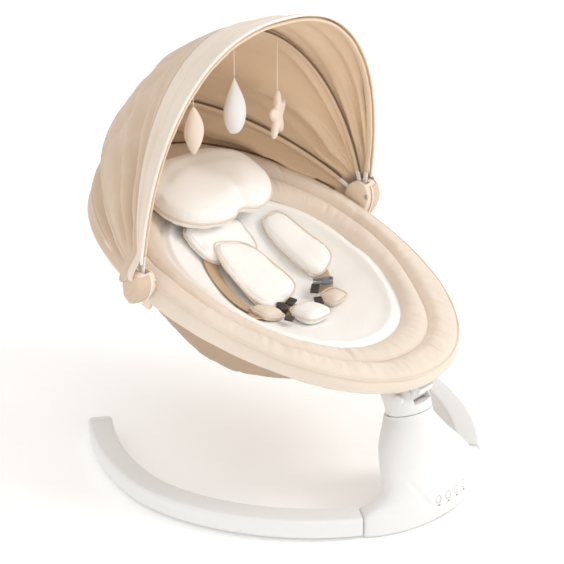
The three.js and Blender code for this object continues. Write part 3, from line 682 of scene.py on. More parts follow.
def puffed(made, line, growth=0.10, reach=3.5, still=13):
    """Runs a piece as cloth blown up from inside, without gravity, so that its cover puffs and creases.

    Nothing moves further than reach millimetres, and the cloth beside the line of piping stays where it is,
    coming free over the distance still.
    """
    materials = list(made.data.materials)
    remesh = made.modifiers.new("remesh", "REMESH")
    remesh.mode = "VOXEL"
    remesh.voxel_size = PUFF["voxel"] * MM
    apply_modifiers(made, materials)
    start = vertex_places(made)
    cloth = made.modifiers.new("cloth", "CLOTH")
    cloth.settings.quality = PUFF["quality"]
    cloth.settings.mass = PUFF["mass"]
    cloth.settings.bending_stiffness = PUFF["bending"]
    cloth.settings.use_pressure = True
    cloth.settings.uniform_pressure_force = PUFF["pressure"]
    cloth.settings.shrink_min = -growth
    cloth.settings.effector_weights.gravity = 0
    scene = bpy.context.scene
    for moment in range(1, PUFF["frames"] + 1):
        scene.frame_set(moment)
    evaluated = made.evaluated_get(bpy.context.evaluated_depsgraph_get())
    moved = vertex_places(evaluated) - start
    made.modifiers.clear()
    scene.frame_set(1)
    tree = kdtree.KDTree(len(line))
    for number, place in enumerate(line):
        tree.insert(place, number)
    tree.balance()
    away = np.array([tree.find(place)[2] for place in start]) / MM
    length = np.linalg.norm(moved, axis=1)
    kept = np.minimum(length, reach * MM) / np.maximum(length, 1e-9) * smoothstep(away, 2, still)
    made.data.vertices.foreach_set("co", (start + moved * kept[:, None]).ravel())
    made.modifiers.new("finer", "SUBSURF").levels = 1
    apply_modifiers(made, materials)
    finish_mesh(made)


def vertex_places(made):
    places = np.empty(len(made.data.vertices) * 3)
    made.data.vertices.foreach_get("co", places)
    return places.reshape(-1, 3)


def apply_modifiers(made, materials):
    """Puts the shape that the modifiers make into the piece's own mesh."""
    bpy.context.view_layer.update()
    evaluated = made.evaluated_get(bpy.context.evaluated_depsgraph_get())
    mesh = bpy.data.meshes.new_from_object(evaluated)
    mesh.materials.clear()
    for material in materials:
        mesh.materials.append(material)
    made.modifiers.clear()
    made.data = mesh


def pad_outline(corners, power=3.6, count=150):
    """A rounded four-cornered outline, by stretching a squarish round over the corners."""
    angles = circle(count)
    u = (1 + curved(np.cos(angles), 2 / power)) / 2
    v = (1 + curved(np.sin(angles), 2 / power)) / 2
    head_left, head_right, foot_right, foot_left = (np.array(corner, float) for corner in corners)
    u, v = u[:, None], v[:, None]
    return (head_left * (1 - u) + head_right * u) * v + (foot_left * (1 - u) + foot_right * u) * (1 - v)


def toward(edge, centre, inset):
    """Points of an edge moved towards a centre by a distance."""
    return edge + unit(centre - edge) * inset


def soft_pad(name, pad, material, slot, seed, *nodes):
    """A puffy pad over its outline, laid on the insert, with piping round its edge."""
    edge = pad_outline(pad["corners"])
    centre = edge.mean(0)
    rings = [raised(toward(edge, centre, inset), height * pad["thick"]) for inset, height in PAD_WALL]
    last = toward(edge, centre, PAD_WALL[-1][0])
    for t in np.linspace(0, 0.985, 22)[1:]:
        flat = last * (1 - t) + centre * t
        height = pad["thick"] * (0.98 + 0.26 * (1 - (1 - t) ** 3.2))
        rings.append(raised(flat, height))
    points = np.array(rings)
    top = points[..., 2] > pad["thick"] * 0.3
    lumps = 1.8 * value_noise(points * (1, 1, 0.3), 34, seed) + 0.6 * value_noise(points, 15, seed + 1)
    points[..., 2] += top * lumps
    creases = np.abs(value_noise(points * (1, 0.6, 0.2), 26, seed + 2))
    points[..., 2] -= top * 2.0 * (1 - creases) ** 6
    points[..., 2] += pad["lift"] + pad.get("slope", 0) * (points[..., 1] - centre[1])
    made = loft(name, in_seat(draped(points)), material)
    line = raised(toward(edge, centre, -0.5), 0.6 * pad["thick"] + pad["lift"])
    line[:, 2] += pad.get("slope", 0) * (line[:, 1] - centre[1])
    puffed(made, in_seat(draped(line)))
    soft(made, 0.55, "seat", slot, *nodes)
    ride(tube(name + "_piping", in_seat(draped(line)), 1.2 * MM, PIPING, closed=True), "seat", "beige_fabric")
    stitched = raised(last, pad["lift"] + pad["thick"] * 0.99)
    stitched[:, 2] += pad.get("slope", 0) * (stitched[:, 1] - centre[1])
    stitches(name + "_stitches", in_seat(draped(stitched)), 0.3)


def make_pads():
    for number, (name, pad) in enumerate(PADS.items()):
        beige = name.startswith("waist")
        slot = "beige_fabric" if beige else "cream_fabric"
        soft_pad(name + "_cushion", pad, MATERIALS[slot], slot, 40 + 3 * number, name)
    soft_pad("shoulder_pad_left_fold", FOLDED_HALF, MATERIALS["cream_fabric"], "cream_fabric", 71)


# Straps as places (x, along, lift off the insert), with their widths.
STRAPS = {
    # The left strap runs along the gap beside the folded shoulder pad; its dark tan also stands for the shade in
    # that gap
    "strap_left": dict(path=[(-30, 66, 6), (-56, 40, 5), (-68, 12, 4), (-74, -20, 4), (-76, -52, 4),
                             (-68, -84, 5), (-48, -96, 5)], width=25, nodes=["harness_strap_left"]),
    "strap_right": dict(path=[(96, -50, 6), (82, -78, 4), (70, -96, 4), (62, -112, 5)], width=22,
                        nodes=["harness_strap_right"]),
    "strap_crotch": dict(path=[(8, -84, 4), (-6, -96, 4), (-16, -110, 4)], width=24, nodes=[]),
    "strap_waist": dict(path=[(-92, -86, 2), (-74, -92, 6), (-56, -96, 4)], width=22, nodes=[]),
}


def make_straps():
    for name, strap in STRAPS.items():
        path = smooth_curve(strap["path"], 60)
        ahead = unit(np.gradient(path[:, :2], axis=0))
        square = np.stack([ahead[:, 1], -ahead[:, 0]], -1) * strap["width"] / 2
        low, high = (in_seat(draped(raised(path[:, :2] + s * square, path[:, 2]))) for s in (-1, 1))
        across = unit(high - low)
        made = band(f"{name}_webbing", in_seat(draped(path)), across, strap["width"], MATERIALS["webbing"])
        ride(made, "seat", "webbing", *strap["nodes"])


def at_seat(x, along, lift, turn):
    """The frame of a small piece lying on the insert, turned in its plane."""
    level = float(insert_level(x, along)) + lift
    half = 4.0
    rise_x = insert_level(x + half, along) - insert_level(x - half, along)
    rise_along = insert_level(x, along + half) - insert_level(x, along - half)
    up = Vector((-rise_x, -rise_along, 2 * half)).normalized()
    first = Vector((math.cos(math.radians(turn)), math.sin(math.radians(turn)), 0))
    first = (first - up * first.dot(up)).normalized()
    second = up.cross(first)
    turned_to = Matrix((first, second, up)).transposed().to_4x4()
    return seat_frame @ shifted(x, along, level) @ turned_to


def block(name, half_width, half_length, height, radius, place, material):
    """A flat block with rounded corners and a rounded upper edge."""
    angles = circle(64)
    corner = lambda inset: np.stack([
        (half_width - radius) * np.sign(np.cos(angles)) + (radius - inset) * np.cos(angles),
        (half_length - radius) * np.sign(np.sin(angles)) + (radius - inset) * np.sin(angles)], -1)
    profile = [(0.8, 0), (0.2, 0.2), (0, 0.7), (0, height - 1.1), (0.25, height - 0.45), (0.8, height - 0.1),
               (1.5, height)]
    rings = np.array([raised(corner(inset), z) for inset, z in profile])
    return loft(name, placed(rings * MM, place), material, sharp_angle=50)


ADJUSTERS = [(-52, 84, 14, 8), (-4, -88, 14, 20), (-26, -90, 14, 60), (-48, -124, 12, 30), (32, -112, 12, 55),
             (52, -86, 12, 35)]


def fitting(name, size, place, paint, windows, *nodes):
    """A small moulded piece of the harness with windows cut through it."""
    made = block(name, *size, place, MATERIALS[paint])
    for low, high in windows:
        cut_away(made, placed(box_points(low, high) * MM, place))
    if windows:
        finish_mesh(made, 40)
    ride(made, "seat", paint, *nodes)


def make_buckle():
    slots = [((-7.4, middle - 0.5, 2.4), (7.4, middle + 0.5, 6)) for middle in (-2.4, 2.4)]
    for number, adjuster in enumerate(ADJUSTERS):
        fitting(f"adjuster_{number + 1}", (10, 6.5, 3.6, 2.0), at_seat(*adjuster), "dark_plastic", slots)
    place = at_seat(-22, -86, 5, 60)
    mouth = [((-5.5, -12, 2.2), (5.5, -3, 5.6))]
    fitting("buckle_body", (9, 8, 8, 3), place, "dark_plastic", mouth, "harness_buckle")
    fitting("buckle_press", (4.2, 4.2, 2.2, 2.6), place @ shifted(0, 1.2, 7.5), "grey_plastic", [])
    place = at_seat(74, -90, 14, 40)
    window = [((-4.6, -6.4, -1), (4.6, -3.6, 9))]
    fitting("tongue_body", (7, 8.5, 5, 2.4), place, "grey_plastic", window, "buckle_tongue")
    for name, side in SIDES:
        prong = place @ shifted(side * 4.4, 15, 0.8)
        fitting(f"tongue_prong_{name}", (2.0, 8, 3.4, 1.3), prong, "grey_plastic", [])


# ---------------------------------------------------------------- head pillow

PILLOW = {"x": 10, "along": 133, "level": -5, "tilt": 5, "thick": 36}


def pillow_outline(angle):
    """Half-extents of the pillow: two lobes with a notch between them at the foot side."""
    x = 112 * curved(np.cos(angle), 2 / 2.5)
    y = 78 * curved(np.sin(angle), 2 / 2.5)
    notch = bell(x, 14, 20) * (np.sin(angle) < 0)
    crown = bell(x, 0, 34) * (np.sin(angle) > 0)
    return np.stack([x, y + 15 * notch - 4 * crown], -1)


def pillow_dents(x, y):
    """How deep the quilting seams and the hollow draw the pillow's top in."""
    valley = bell(x - 0.12 * (y + 60), 16, 10) * smoothstep(-y, -30, 60)
    arc = bell(y, 40 - (x / 112) ** 2 * 40, 9) * smoothstep(-np.abs(x + 4), -100, -60)
    hollow = np.exp(-((x - 24) ** 2 + (y - 10) ** 2) / 26**2)
    return 5.0 * valley + 2.6 * arc + 6.0 * hollow


def make_pillow():
    angles = circle(300)
    flat = pillow_outline(angles)
    thick = PILLOW["thick"]
    rings = [raised(flat * scale, height * thick) for scale, height in PILLOW_WALL]
    for t in np.linspace(0, 1, 60)[1:]:
        scale = 0.94 * (1 - t) + 0.01 * t
        height = 0.80 + 0.28 * math.sin(min(t / 0.5, 1) * math.pi / 2)
        rings.append(raised(flat * scale, height * thick))
    points = np.array(rings)
    on_top = smoothstep(points[..., 2], 0.6 * thick, 0.95 * thick)
    points[..., 2] -= pillow_dents(points[..., 0], points[..., 1]) * on_top
    points[..., 2] += 1.4 * value_noise(points * (1, 1, 0.3), 40, 31) * (points[..., 2] > 6)
    near_edge = smoothstep(-points[..., 2], -0.98 * thick, -0.5 * thick)
    gathers = np.abs(value_noise(np.stack([np.broadcast_to(angles * 9, points.shape[:2]),
                                           points[..., 2] / 60, points[..., 2] * 0], -1), 1.0, 33))
    points[..., 2] -= 1.8 * (1 - gathers) ** 5 * near_edge
    tilt = Matrix.Translation((PILLOW["x"], PILLOW["along"], PILLOW["level"]))
    tilt = tilt @ Matrix.Rotation(math.radians(PILLOW["tilt"]), 4, "X")
    pillow = loft("head_cushion", in_seat(placed(points, tilt)), MATERIALS["cream_fabric"])
    edge = raised(flat * 1.003, 0.40 * thick)
    puffed(pillow, in_seat(placed(edge, tilt)), growth=0.05, reach=3.0, still=24)
    soft(pillow, 0.7, "seat", "cream_fabric", "head_pillow")
    piping = tube("head_cushion_piping", in_seat(placed(edge, tilt)), 1.9 * MM, PIPING, closed=True)
    ride(piping, "seat", "beige_fabric")


# ---------------------------------------------------------------- canopy

BOWS = {
    "front": {"x": 241.3, "reach": 337, "angle": 97.6, "power": 2.4},
    "mid": {"x": 237.7, "reach": 314, "angle": 80.5, "power": 1.92},
    "rear": {"x": 234.1, "reach": 306, "angle": 32, "power": 1.7},
    "hem": {"x": 231, "reach": 278, "angle": 18.4, "power": 2.1},
}


def bow_point(bow, share, rise=0.0, side=0.0):
    """Points on a bow from the right hub (share 0) to the left hub (share 1), in the hub frame."""
    share = np.asarray(share, float)

    def flat(s):
        return np.stack([bow["x"] * curved(np.cos(math.pi * s), 2 / bow["power"]),
                         bow["reach"] * curved(np.sin(math.pi * s), 2 / bow["power"])], -1)

    ahead = unit(flat(np.minimum(share + 1e-3, 1)) - flat(np.maximum(share - 1e-3, 0)))
    u = flat(share)[..., 0] + rise * ahead[..., 1]
    v = flat(share)[..., 1] - rise * ahead[..., 0]
    cosine, sine = math.cos(math.radians(bow["angle"])), math.sin(math.radians(bow["angle"]))
    return np.stack([u, v * cosine - side * sine, v * sine + side * cosine], -1)


def share_at_reach(bow, reach):
    return math.asin((reach / bow["reach"]) ** (bow["power"] / 2)) / math.pi


HEM_FROM = 95.5     # degrees round the rim from its foot where the hem begins
FLARE_X = 262.9     # how far out the cloth lies where it covers the hubs


def canopy_edge(name, t, start_reach, rise, side):
    """The edge of a panel along a bow, or along the seat's rim at the hem, from the right hub to the left."""
    if name == "hem":
        angle = np.radians(HEM_FROM + (360 - 2 * HEM_FROM) * t)
        flat = rim_point(angle, np.full(t.shape, rise), np.zeros(t.shape), side)
        return placed(flat, Matrix.Rotation(SEAT_TILT, 4, "X"))
    start = share_at_reach(BOWS[name], start_reach)
    return bow_point(BOWS[name], start + (1 - 2 * start) * t, rise, side)


def canopy_surface(part, columns=260, rows=60, start_reach=13):
    """Cloth between two bows, following the arc round the hub axis, wrinkled towards the hubs."""
    t = np.linspace(0, 1, columns)
    u = np.linspace(0, 1, rows)[:, None]
    first, second = (canopy_edge(part[key], t, start_reach, rise, side)
                     for key, rise, side in zip(("first", "second"), part["rises"], part["sides"]))
    mix = lambda a, b: a * (1 - u) + b * u
    reach = mix(np.hypot(first[:, 1], first[:, 2]), np.hypot(second[:, 1], second[:, 2]))
    turn = mix(np.arctan2(first[:, 2], first[:, 1]), np.arctan2(second[:, 2], second[:, 1]))
    chord = np.stack([mix(first[:, k], second[:, k]) for k in range(3)], -1)
    arc = np.stack([chord[..., 0], reach * np.cos(turn), reach * np.sin(turn)], -1)
    crown = part["crown"] * bell(t, 0.5, 0.2)[None, :, None]
    surface = chord + (arc - chord) * (part["full"] + crown)
    near_hub = np.clip(np.abs(2 * t - 1), 0, 1)[None]
    grid = lambda along, across: np.stack(np.broadcast_arrays(t * along, u * across, 0.3), -1)
    pleats = value_noise(grid(3.0, 6.0), 1.0, part["seed"])
    creases = (1 - np.abs(value_noise(grid(2.2, 5.0), 1.0, part["seed"] + 1))) ** 4
    slanted = grid(13.0, 0.8)
    slanted[..., 0] += 2.4 * slanted[..., 1]
    skew = (1 - np.abs(value_noise(slanted, 1.0, part["seed"] + 2))) ** 3
    slack = np.sin(math.pi * u)
    size = part["wrinkle"] * smoothstep(reach, 30, 120)
    depth = part["sag"] * slack * (1 - near_hub**6)
    folds = 4.6 * pleats * (0.4 + near_hub) + 4.2 * creases * (0.35 + near_hub) + 2.6 * skew
    depth = depth + slack * size * folds
    low = smoothstep(np.broadcast_to(near_hub, (rows, columns)), 0.12, 0.62) * smoothstep(reach, 34, 110)
    for place, width, drop in part["pleats"]:
        middle = place + 0.05 * np.sin(t * 11 + place * 20)[None]
        depth = depth + drop * low * bell(u, middle, width)
    normals = grid_normals(surface)
    normals *= np.sign((normals * surface).sum(2, keepdims=True))
    surface = surface - normals * depth[..., None]
    distance = np.hypot(surface[..., 1], surface[..., 2])
    flare = 1 - smoothstep(distance, 20, 50)
    if part["first"] == "hem":
        flare = flare * smoothstep(u, 0.1, 0.8)
    side = np.sign(surface[..., 0])
    surface[..., 0] += side * (FLARE_X - np.abs(surface[..., 0])) * flare
    return surface


# Each cloth's two edges and how far they stand off the bows, its sag, how far it follows the arc between the
# bows, its pleats (share of the way across, width, depth) and its wrinkles; half is half its blend's length.
CANOPY = {
    "canopy_front_cloth": dict(
        first="mid", second="front", rises=(5.0, 7.6), sides=(0.4, 4.0), sag=-2, full=0.6, crown=0,
        pleats=[(0.2, 0.07, 4)], wrinkle=1.6, seed=51, half=0.05,
        bodies=("canopy_mid", "canopy_front"), node="canopy_front_panel", rests=["mid_bow", "front_bow"]),
    "canopy_mid_cloth": dict(
        first="rear", second="mid", rises=(3.4, 5.0), sides=(0.4, -0.4), sag=-3, full=0.05, crown=0.6,
        pleats=[(0.86, 0.05, 9), (0.56, 0.09, 10), (0.26, 0.07, 7)], wrinkle=2.6, seed=57, half=0.1,
        bodies=("canopy_rear", "canopy_mid"), node="canopy_mid_panel", rests=["rear_bow", "mid_bow"]),
    "canopy_rear_cloth": dict(
        first="hem", second="rear", rises=(-3.0, 3.4), sides=(-25, -0.4), sag=1, full=1.0, crown=0,
        pleats=[(0.55, 0.13, 7)], wrinkle=2.2, seed=63, half=0.04,
        bodies=("seat", "canopy_rear"), node="canopy_rear_panel", rests=["rim_cover", "rear_bow"]),
}


def make_canopy():
    for name, part in CANOPY.items():
        world = placed(canopy_surface(part) * MM, hub_frame)
        # The front panel's outer face takes the beige cloth; the other panels take its darker copy, which is
        # painted shade
        outside = MATERIALS["beige_fabric"] if "front" in name else SHADED_CANOPY_CLOTH
        cloth = thick_sheet(name, world, 1.4 * MM, outside, MATERIALS["shade_fabric"], HUB)
        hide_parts(part["node"])
        world.swapaxes(0, 1)[::10]
        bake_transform(cloth)
    for name in ("front", "mid", "rear"):
        make_casing(name)
    edge = canopy_edge("front", np.linspace(0, 1, 300), 37, 7.9, 5.4)
    piping = tube("canopy_edge_piping", placed(edge * MM, hub_frame), 2.0 * MM, EDGE_PIPING)
    ride(piping, "canopy_front", "cream_fabric")
    # Along the hem: a thin dark tube as painted shade of the seam's crease, and a beige piping below it
    for name, inset, level, radius, cloth in (("canopy_hem_crease_line", 8.0, -0.6, 1.7, SEAM_CREASE_SHADE),
                                              ("canopy_hem_piping", -3.0, -26, 1.5, PIPING)):
        hem = canopy_edge("hem", np.linspace(0.02, 0.98, 320), 0, inset, level)
        ride(tube(name, placed(hem * MM, hub_frame), radius * MM, cloth), "seat", "webbing")


def make_casing(name):
    """The sleeve of cloth that holds a bow, with a thin dark tube along its seam as painted shade of the seam's
    crease.
    """
    bow = BOWS[name]
    start = share_at_reach(bow, 46)
    shares = np.linspace(start, 1 - start, 240)
    angles = circle(16)
    wobble = (0.35 * np.sin(shares * 90) + 0.25 * np.sin(shares * 231))[:, None]
    grid = np.broadcast_to(shares[:, None], (240, 16))
    rings = bow_point(bow, grid, 0.3 + (2.9 + wobble * 0.3) * np.sin(angles), (5.6 + wobble) * np.cos(angles))
    sleeve = loft(f"{name}_bow_sleeve", placed(rings * MM, hub_frame), CASING)
    ride(sleeve, f"canopy_{name}", "beige_fabric")
    if name == "front":
        return
    # A thin dark tube along the seam: painted shade of the crease where the sleeve is sewn
    seam = bow_point(bow, shares, -1.6, 6.4)
    shade_strip = tube(f"{name}_bow_crease_line", placed(seam * MM, hub_frame), 1.7 * MM, SEAM_CREASE_SHADE)
    ride(shade_strip, f"canopy_{name}", "webbing")


# ---------------------------------------------------------------- hubs

EGG = {"radius": 29, "stretch": 1.12, "taper": 0.16, "drop": 4, "front": 0.74}
HUB_SIZE = {-1: 0.72, 1: 1.05}   # each side's share of the egg; the cloth is drawn in round the left hub


def egg_ring(x, scale, sides=120):
    """The hub's egg outline in the seat's plane of length and height, narrower towards the bottom."""
    angles = circle(sides)
    taper = 1 - EGG["taper"] * (1 - np.sin(angles)) / 2
    along = EGG["radius"] * scale * taper * np.cos(angles)
    along = np.where(along < 0, along * EGG["front"], along)
    level = EGG["radius"] * EGG["stretch"] * scale * np.sin(angles) - EGG["drop"]
    size = HUB_SIZE[1 if x > 0 else -1]
    return np.stack([np.full(sides, x), along * size, level * size], -1)


HUB_FACE = [(226.6, 0.82), (226.8, 0.90), (227.4, 0.95), (228.6, 0.985), (230.6, 0.99)]
HUB_SHELL = [(230.9, 0.99), (231.2, 1.0), (243, 1.01), (250, 1.01), (254, 0.985), (257, 0.93), (259, 0.84),
             (260.2, 0.70), (260.8, 0.52), (261.0, 0.3), (261.0, 0.1)]
BOW_SLOT = {"inner": 231.3, "outer": 243.4, "from": 5, "to": 115, "reach": 48, "eye": 12.4}
SCREW = {"along": -14, "level": 12, "radius": 4.2}
LUG = {"x": 222, "level": -46, "half_width": 4.4, "half_length": {-1: 8, 1: 14}, "height": 19}


def prism(ends, place):
    """Points and faces of the closed shape between two rings of points, given in millimetres."""
    count = len(ends[0])
    lids = [tuple(range(count)), tuple(range(2 * count - 1, count - 1, -1))]
    faces = grid_faces(2, count, False, True) + lids
    return placed(np.reshape(ends, (-1, 3)) * MM, place), faces


def drum(radius, low, high, sides, place):
    """Points and faces of a round cutter along Z."""
    flat = np.stack([radius * np.cos(circle(sides)), radius * np.sin(circle(sides))], -1)
    return prism([raised(flat, low), raised(flat, high)], place)


def slot_cutter(side):
    """A sector round the hub axis, with a round hole for the bows' eyes, as a prism."""
    start, stop = BOW_SLOT["from"], BOW_SLOT["to"]
    wide = [(BOW_SLOT["reach"], a) for a in np.linspace(start, stop, 12)]
    narrow = [(BOW_SLOT["eye"], a) for a in np.linspace(stop, start + 360, 24)]
    flat = [(r * math.cos(math.radians(a)), r * math.sin(math.radians(a))) for r, a in wide + narrow]
    ends = [[(side * x, y, z) for y, z in flat] for x in (BOW_SLOT["inner"], BOW_SLOT["outer"])]
    return prism(ends, hub_frame)


def make_hubs():
    beige = MATERIALS["beige_plastic"]
    for name, side in SIDES:
        shell = loft(f"hub_shell_{name}", in_seat([egg_ring(side * x, s) for x, s in HUB_SHELL]), beige)
        cut_away(shell, *slot_cutter(side))
        finish_mesh(shell, 45)
        ride(shell, "seat", "beige_plastic", f"hub_cover_{name}")
        face = loft(f"hub_face_{name}", in_seat([egg_ring(side * x, s) for x, s in HUB_FACE]), beige)
        size = HUB_SIZE[side]
        place = seat_frame @ shifted(side * HUB_FACE[0][0], SCREW["along"] * size, SCREW["level"] * size)
        place = place @ Matrix.Rotation(-side * math.pi / 2, 4, "Y")
        cut_away(face, *drum(SCREW["radius"], -2.2, 4, 40, place))
        finish_mesh(face, 45)
        ride(face, "seat", "beige_plastic", f"hub_base_{name}")
        profile = [(3.3, -2.1), (3.4, -1.2), (3.2, -0.8), (2.4, -0.5), (0.5, -0.4)]
        screw = turned_part(f"hub_screw_{name}", profile, place, MATERIALS["steel"], sides=40)
        for turn in (0, math.pi / 2):
            cross = placed(box_points((-2.0, -0.35, -1.4), (2.0, 0.35, 1)), Matrix.Rotation(turn, 4, "Z"))
            cut_away(screw, placed(cross * MM, place))
        finish_mesh(screw, 40)
        ride(screw, "seat", "steel")
        below = seat_frame @ shifted(side * LUG["x"], 0, LUG["level"])
        size = (LUG["half_width"], LUG["half_length"][side], LUG["height"])
        lug = block(f"hub_lug_{name}", *size, 3, below, beige)
        ride(lug, "seat", "beige_plastic")
        make_flap(name, side)


# How far out along X the flap lies, by its reach from the middle of the hub to its edge.
FLAP_CROWN = ([0, 0.3, 0.55, 0.75, 0.88, 0.95, 1.0], [263.2, 263.1, 262.7, 261.4, 258.6, 254.5, 249])
FLAP_WRAP = (237, 240, 243, 245.5, 247.5)   # how the flap's front edge turns in round the hub, along X


def make_flap(name, side):
    """The lowest corner of the canopy's cloth, drawn down over the outside of the hub."""
    rows, columns = 44, 36
    size = HUB_SIZE[side]
    levels = np.linspace(-EGG["radius"] * EGG["stretch"] * 1.055 - EGG["drop"] + 0.6, 27, rows)
    surface = []
    for level in levels:
        sine = np.clip((level + EGG["drop"]) / (EGG["radius"] * EGG["stretch"] * 1.06), -0.999, 0.96)
        full = EGG["radius"] * 1.06 * (1 - EGG["taper"] * (1 - sine) / 2)
        half = full * math.sqrt(1 - sine**2)
        along = np.linspace(-half * EGG["front"], half, columns)
        across = np.where(along < 0, along / EGG["front"], along) / full
        reach = np.clip(np.hypot(across, sine), 0, 1)
        x = np.interp(reach, *FLAP_CROWN)
        x = x + 0.7 * np.sin(along * 0.35 + level * 0.12)
        along = np.concatenate([np.full(len(FLAP_WRAP), along[0] - 0.3), along])
        x = np.concatenate([FLAP_WRAP, x])
        surface.append(np.stack([side * x, along * size, np.full(len(x), level * size)], -1))
    surface = np.array(surface)
    world = in_seat(surface)
    # The flap's outer face takes the darker copy of the beige cloth, which is painted shade
    flap = thick_sheet(f"hub_flap_{name}", world, 1.2 * MM, SHADED_CANOPY_CLOTH, MATERIALS["shade_fabric"], HUB)
    ride(flap, "seat", "beige_fabric")
    world.swapaxes(0, 1)[:columns:4]
    piping = tube(f"hub_flap_piping_{name}", in_seat(surface[:, 0] + (0, -0.6, 0)), 1.2 * MM, EDGE_PIPING)
    ride(piping, "seat", "cream_fabric")


# ---------------------------------------------------------------- base ring and column

RING = {"x": 275, "front": 316, "rear": 326, "power": 1.77}
LEG = {"width": 38, "height": 31.5, "bottom": 2.5, "start": 0.53, "end": 2.26}


def ring_at(angle, side):
    angle = np.asarray(angle, float)
    length = np.where(np.cos(angle) > 0, RING["front"], RING["rear"])
    return np.stack([side * RING["x"] * curved(np.sin(angle), 2 / RING["power"]),
                     -length * curved(np.cos(angle), 2 / RING["power"])], -1)


def rounded_rect(width, height, top_radius, bottom_radius, steps=8):
    corners = [(width / 2 - top_radius, height - top_radius, top_radius, 0),
               (-width / 2 + top_radius, height - top_radius, top_radius, 90),
               (-width / 2 + bottom_radius, bottom_radius, bottom_radius, 180),
               (width / 2 - bottom_radius, bottom_radius, bottom_radius, 270)]
    points = []
    for u, v, radius, start in corners:
        for i in range(steps + 1):
            angle = math.radians(start + 90 * i / steps)
            points.append((u + radius * math.cos(angle), v + radius * math.sin(angle)))
    return np.array(points)


def leg_rings(side, angles, scales):
    section = rounded_rect(LEG["width"], LEG["height"], 6, 10)
    rings = []
    for angle, scale in zip(angles, scales):
        centre = ring_at(angle, side)
        ahead = unit(ring_at(angle + 1e-3, side) - ring_at(angle - 1e-3, side))
        outward = np.array([ahead[1], -ahead[0]]) * side
        half = LEG["height"] / 2
        level = LEG["bottom"] + half + (section[:, 1] - half) * scale
        rings.append(raised(centre + section[:, :1] * scale * outward, level))
    return placed(np.array(rings) * MM, ring_frame)


def make_legs():
    for name, side in SIDES:
        angles = np.linspace(LEG["start"], LEG["end"], 150)
        angles = np.concatenate([[LEG["start"] - 0.0005], angles, [LEG["end"] + 0.0005]])
        scales = np.concatenate([[0.985], np.ones(150), [0.985]])
        white = MATERIALS["white_plastic"]
        shell = loft(f"{name}_leg_shell", leg_rings(side, angles, scales), white, sharp_angle=50)
        ride(shell, "base", "white_plastic", f"{name}_leg")
        reach = np.linspace(0, 1, 14)
        cap_angles = LEG["end"] + 0.003 + 0.05 * np.sin(reach * math.pi / 2)
        cap_scales = np.sqrt(np.clip(1 - reach**3.2, 0, 1)) * 0.55 + 0.45
        cap = loft(f"{name}_leg_tip", leg_rings(side, cap_angles, cap_scales), white, sharp_angle=50)
        ride(cap, "base", "white_plastic", f"{name}_leg_end_cap")


# Height, half-length, front, back, share of the ring's curve and squareness of the ends.
HOUSING_ROWS = np.array([
    (2.5, 125, -330, -256, 1, 9), (11, 125, -335, -252, 1, 9), (29, 125, -334.5, -251, 1, 9),
    (34, 122, -333, -248, 1, 7), (42, 112, -331, -240, 0.9, 4), (56, 92, -325.5, -230, 0.55, 2.6),
    (76, 80, -318, -223, 0.2, 2.2), (100, 61, -306.5, -218, 0, 2), (122, 44, -294.5, -215.5, 0, 2),
    (139, 33.6, -285.3, -214.7, 0, 2), (160, 33.6, -278.5, -207.9, 0, 2),
])


CREASE = {"x": 37, "from": 26, "to": 96, "spread": 0.62, "depth": 2.6, "width": 4.5}


def ring_back(x):
    share = np.clip(np.abs(x) / RING["x"], 0, 1)
    return RING["front"] * (1 - (1 - share ** RING["power"]) ** (1 / RING["power"]))


def housing_ring(row, sides):
    z, half_length, front, back, follow, power = row
    centre = (front + back) / 2 * (1 - follow) - RING["front"] * follow
    leg_half = (back - front) / 2 * (1 - follow) + LEG["width"] / 2 * follow
    angle = 2 * math.pi * (np.arange(sides) + 0.5) / sides
    share = np.cos(angle)
    x = half_length * share
    slope = follow * (ring_back(x + 0.5) - ring_back(x - 0.5))
    normal = unit(np.stack([slope, -np.ones(sides)], -1))
    swell = bell(x, 0, 52)
    forward = leg_half * (1 - swell) + (centre - front) * swell
    backward = leg_half * (1 - swell) + (back - centre) * swell
    fullness = np.sign(np.sin(angle)) * (1 - np.abs(share) ** power) ** (1 / power)
    crease_x = CREASE["x"] + (z - CREASE["from"]) * CREASE["spread"]
    fade = smoothstep(z, CREASE["from"] - 6, CREASE["from"] + 8) * (1 - smoothstep(z, 62, CREASE["to"]))
    crease = CREASE["depth"] * fade * bell(np.abs(x), crease_x, CREASE["width"])
    depth = np.where(fullness > 0, forward - crease, backward) * fullness
    return np.stack([x + depth * normal[:, 0], centre + follow * ring_back(x) + depth * normal[:, 1],
                     np.full(sides, z)], -1)


def smooth_rows(rows, heights):
    """Rows interpolated at other heights by a monotone cubic, so that no value overshoots."""
    z, values = rows[:, 0], rows[:, 1:]
    steps = np.diff(z)[:, None]
    slopes = np.diff(values, axis=0) / steps
    tangents = np.zeros_like(values)
    same = slopes[:-1] * slopes[1:] > 0
    harmonic = 2 * slopes[:-1] * slopes[1:] / np.where(same, slopes[:-1] + slopes[1:], 1)
    tangents[1:-1] = np.where(same, harmonic, 0)
    tangents[0], tangents[-1] = slopes[0], slopes[-1]
    made = []
    for height in heights:
        i = min(max(int(np.searchsorted(z, height)) - 1, 0), len(z) - 2)
        h = z[i + 1] - z[i]
        t = (height - z[i]) / h
        value = ((2 * t**3 - 3 * t**2 + 1) * values[i] + (t**3 - 2 * t**2 + t) * h * tangents[i]
                 + (3 * t**2 - 2 * t**3) * values[i + 1] + (t**3 - t**2) * h * tangents[i + 1])
        made.append((height, *value))
    return np.array(made)


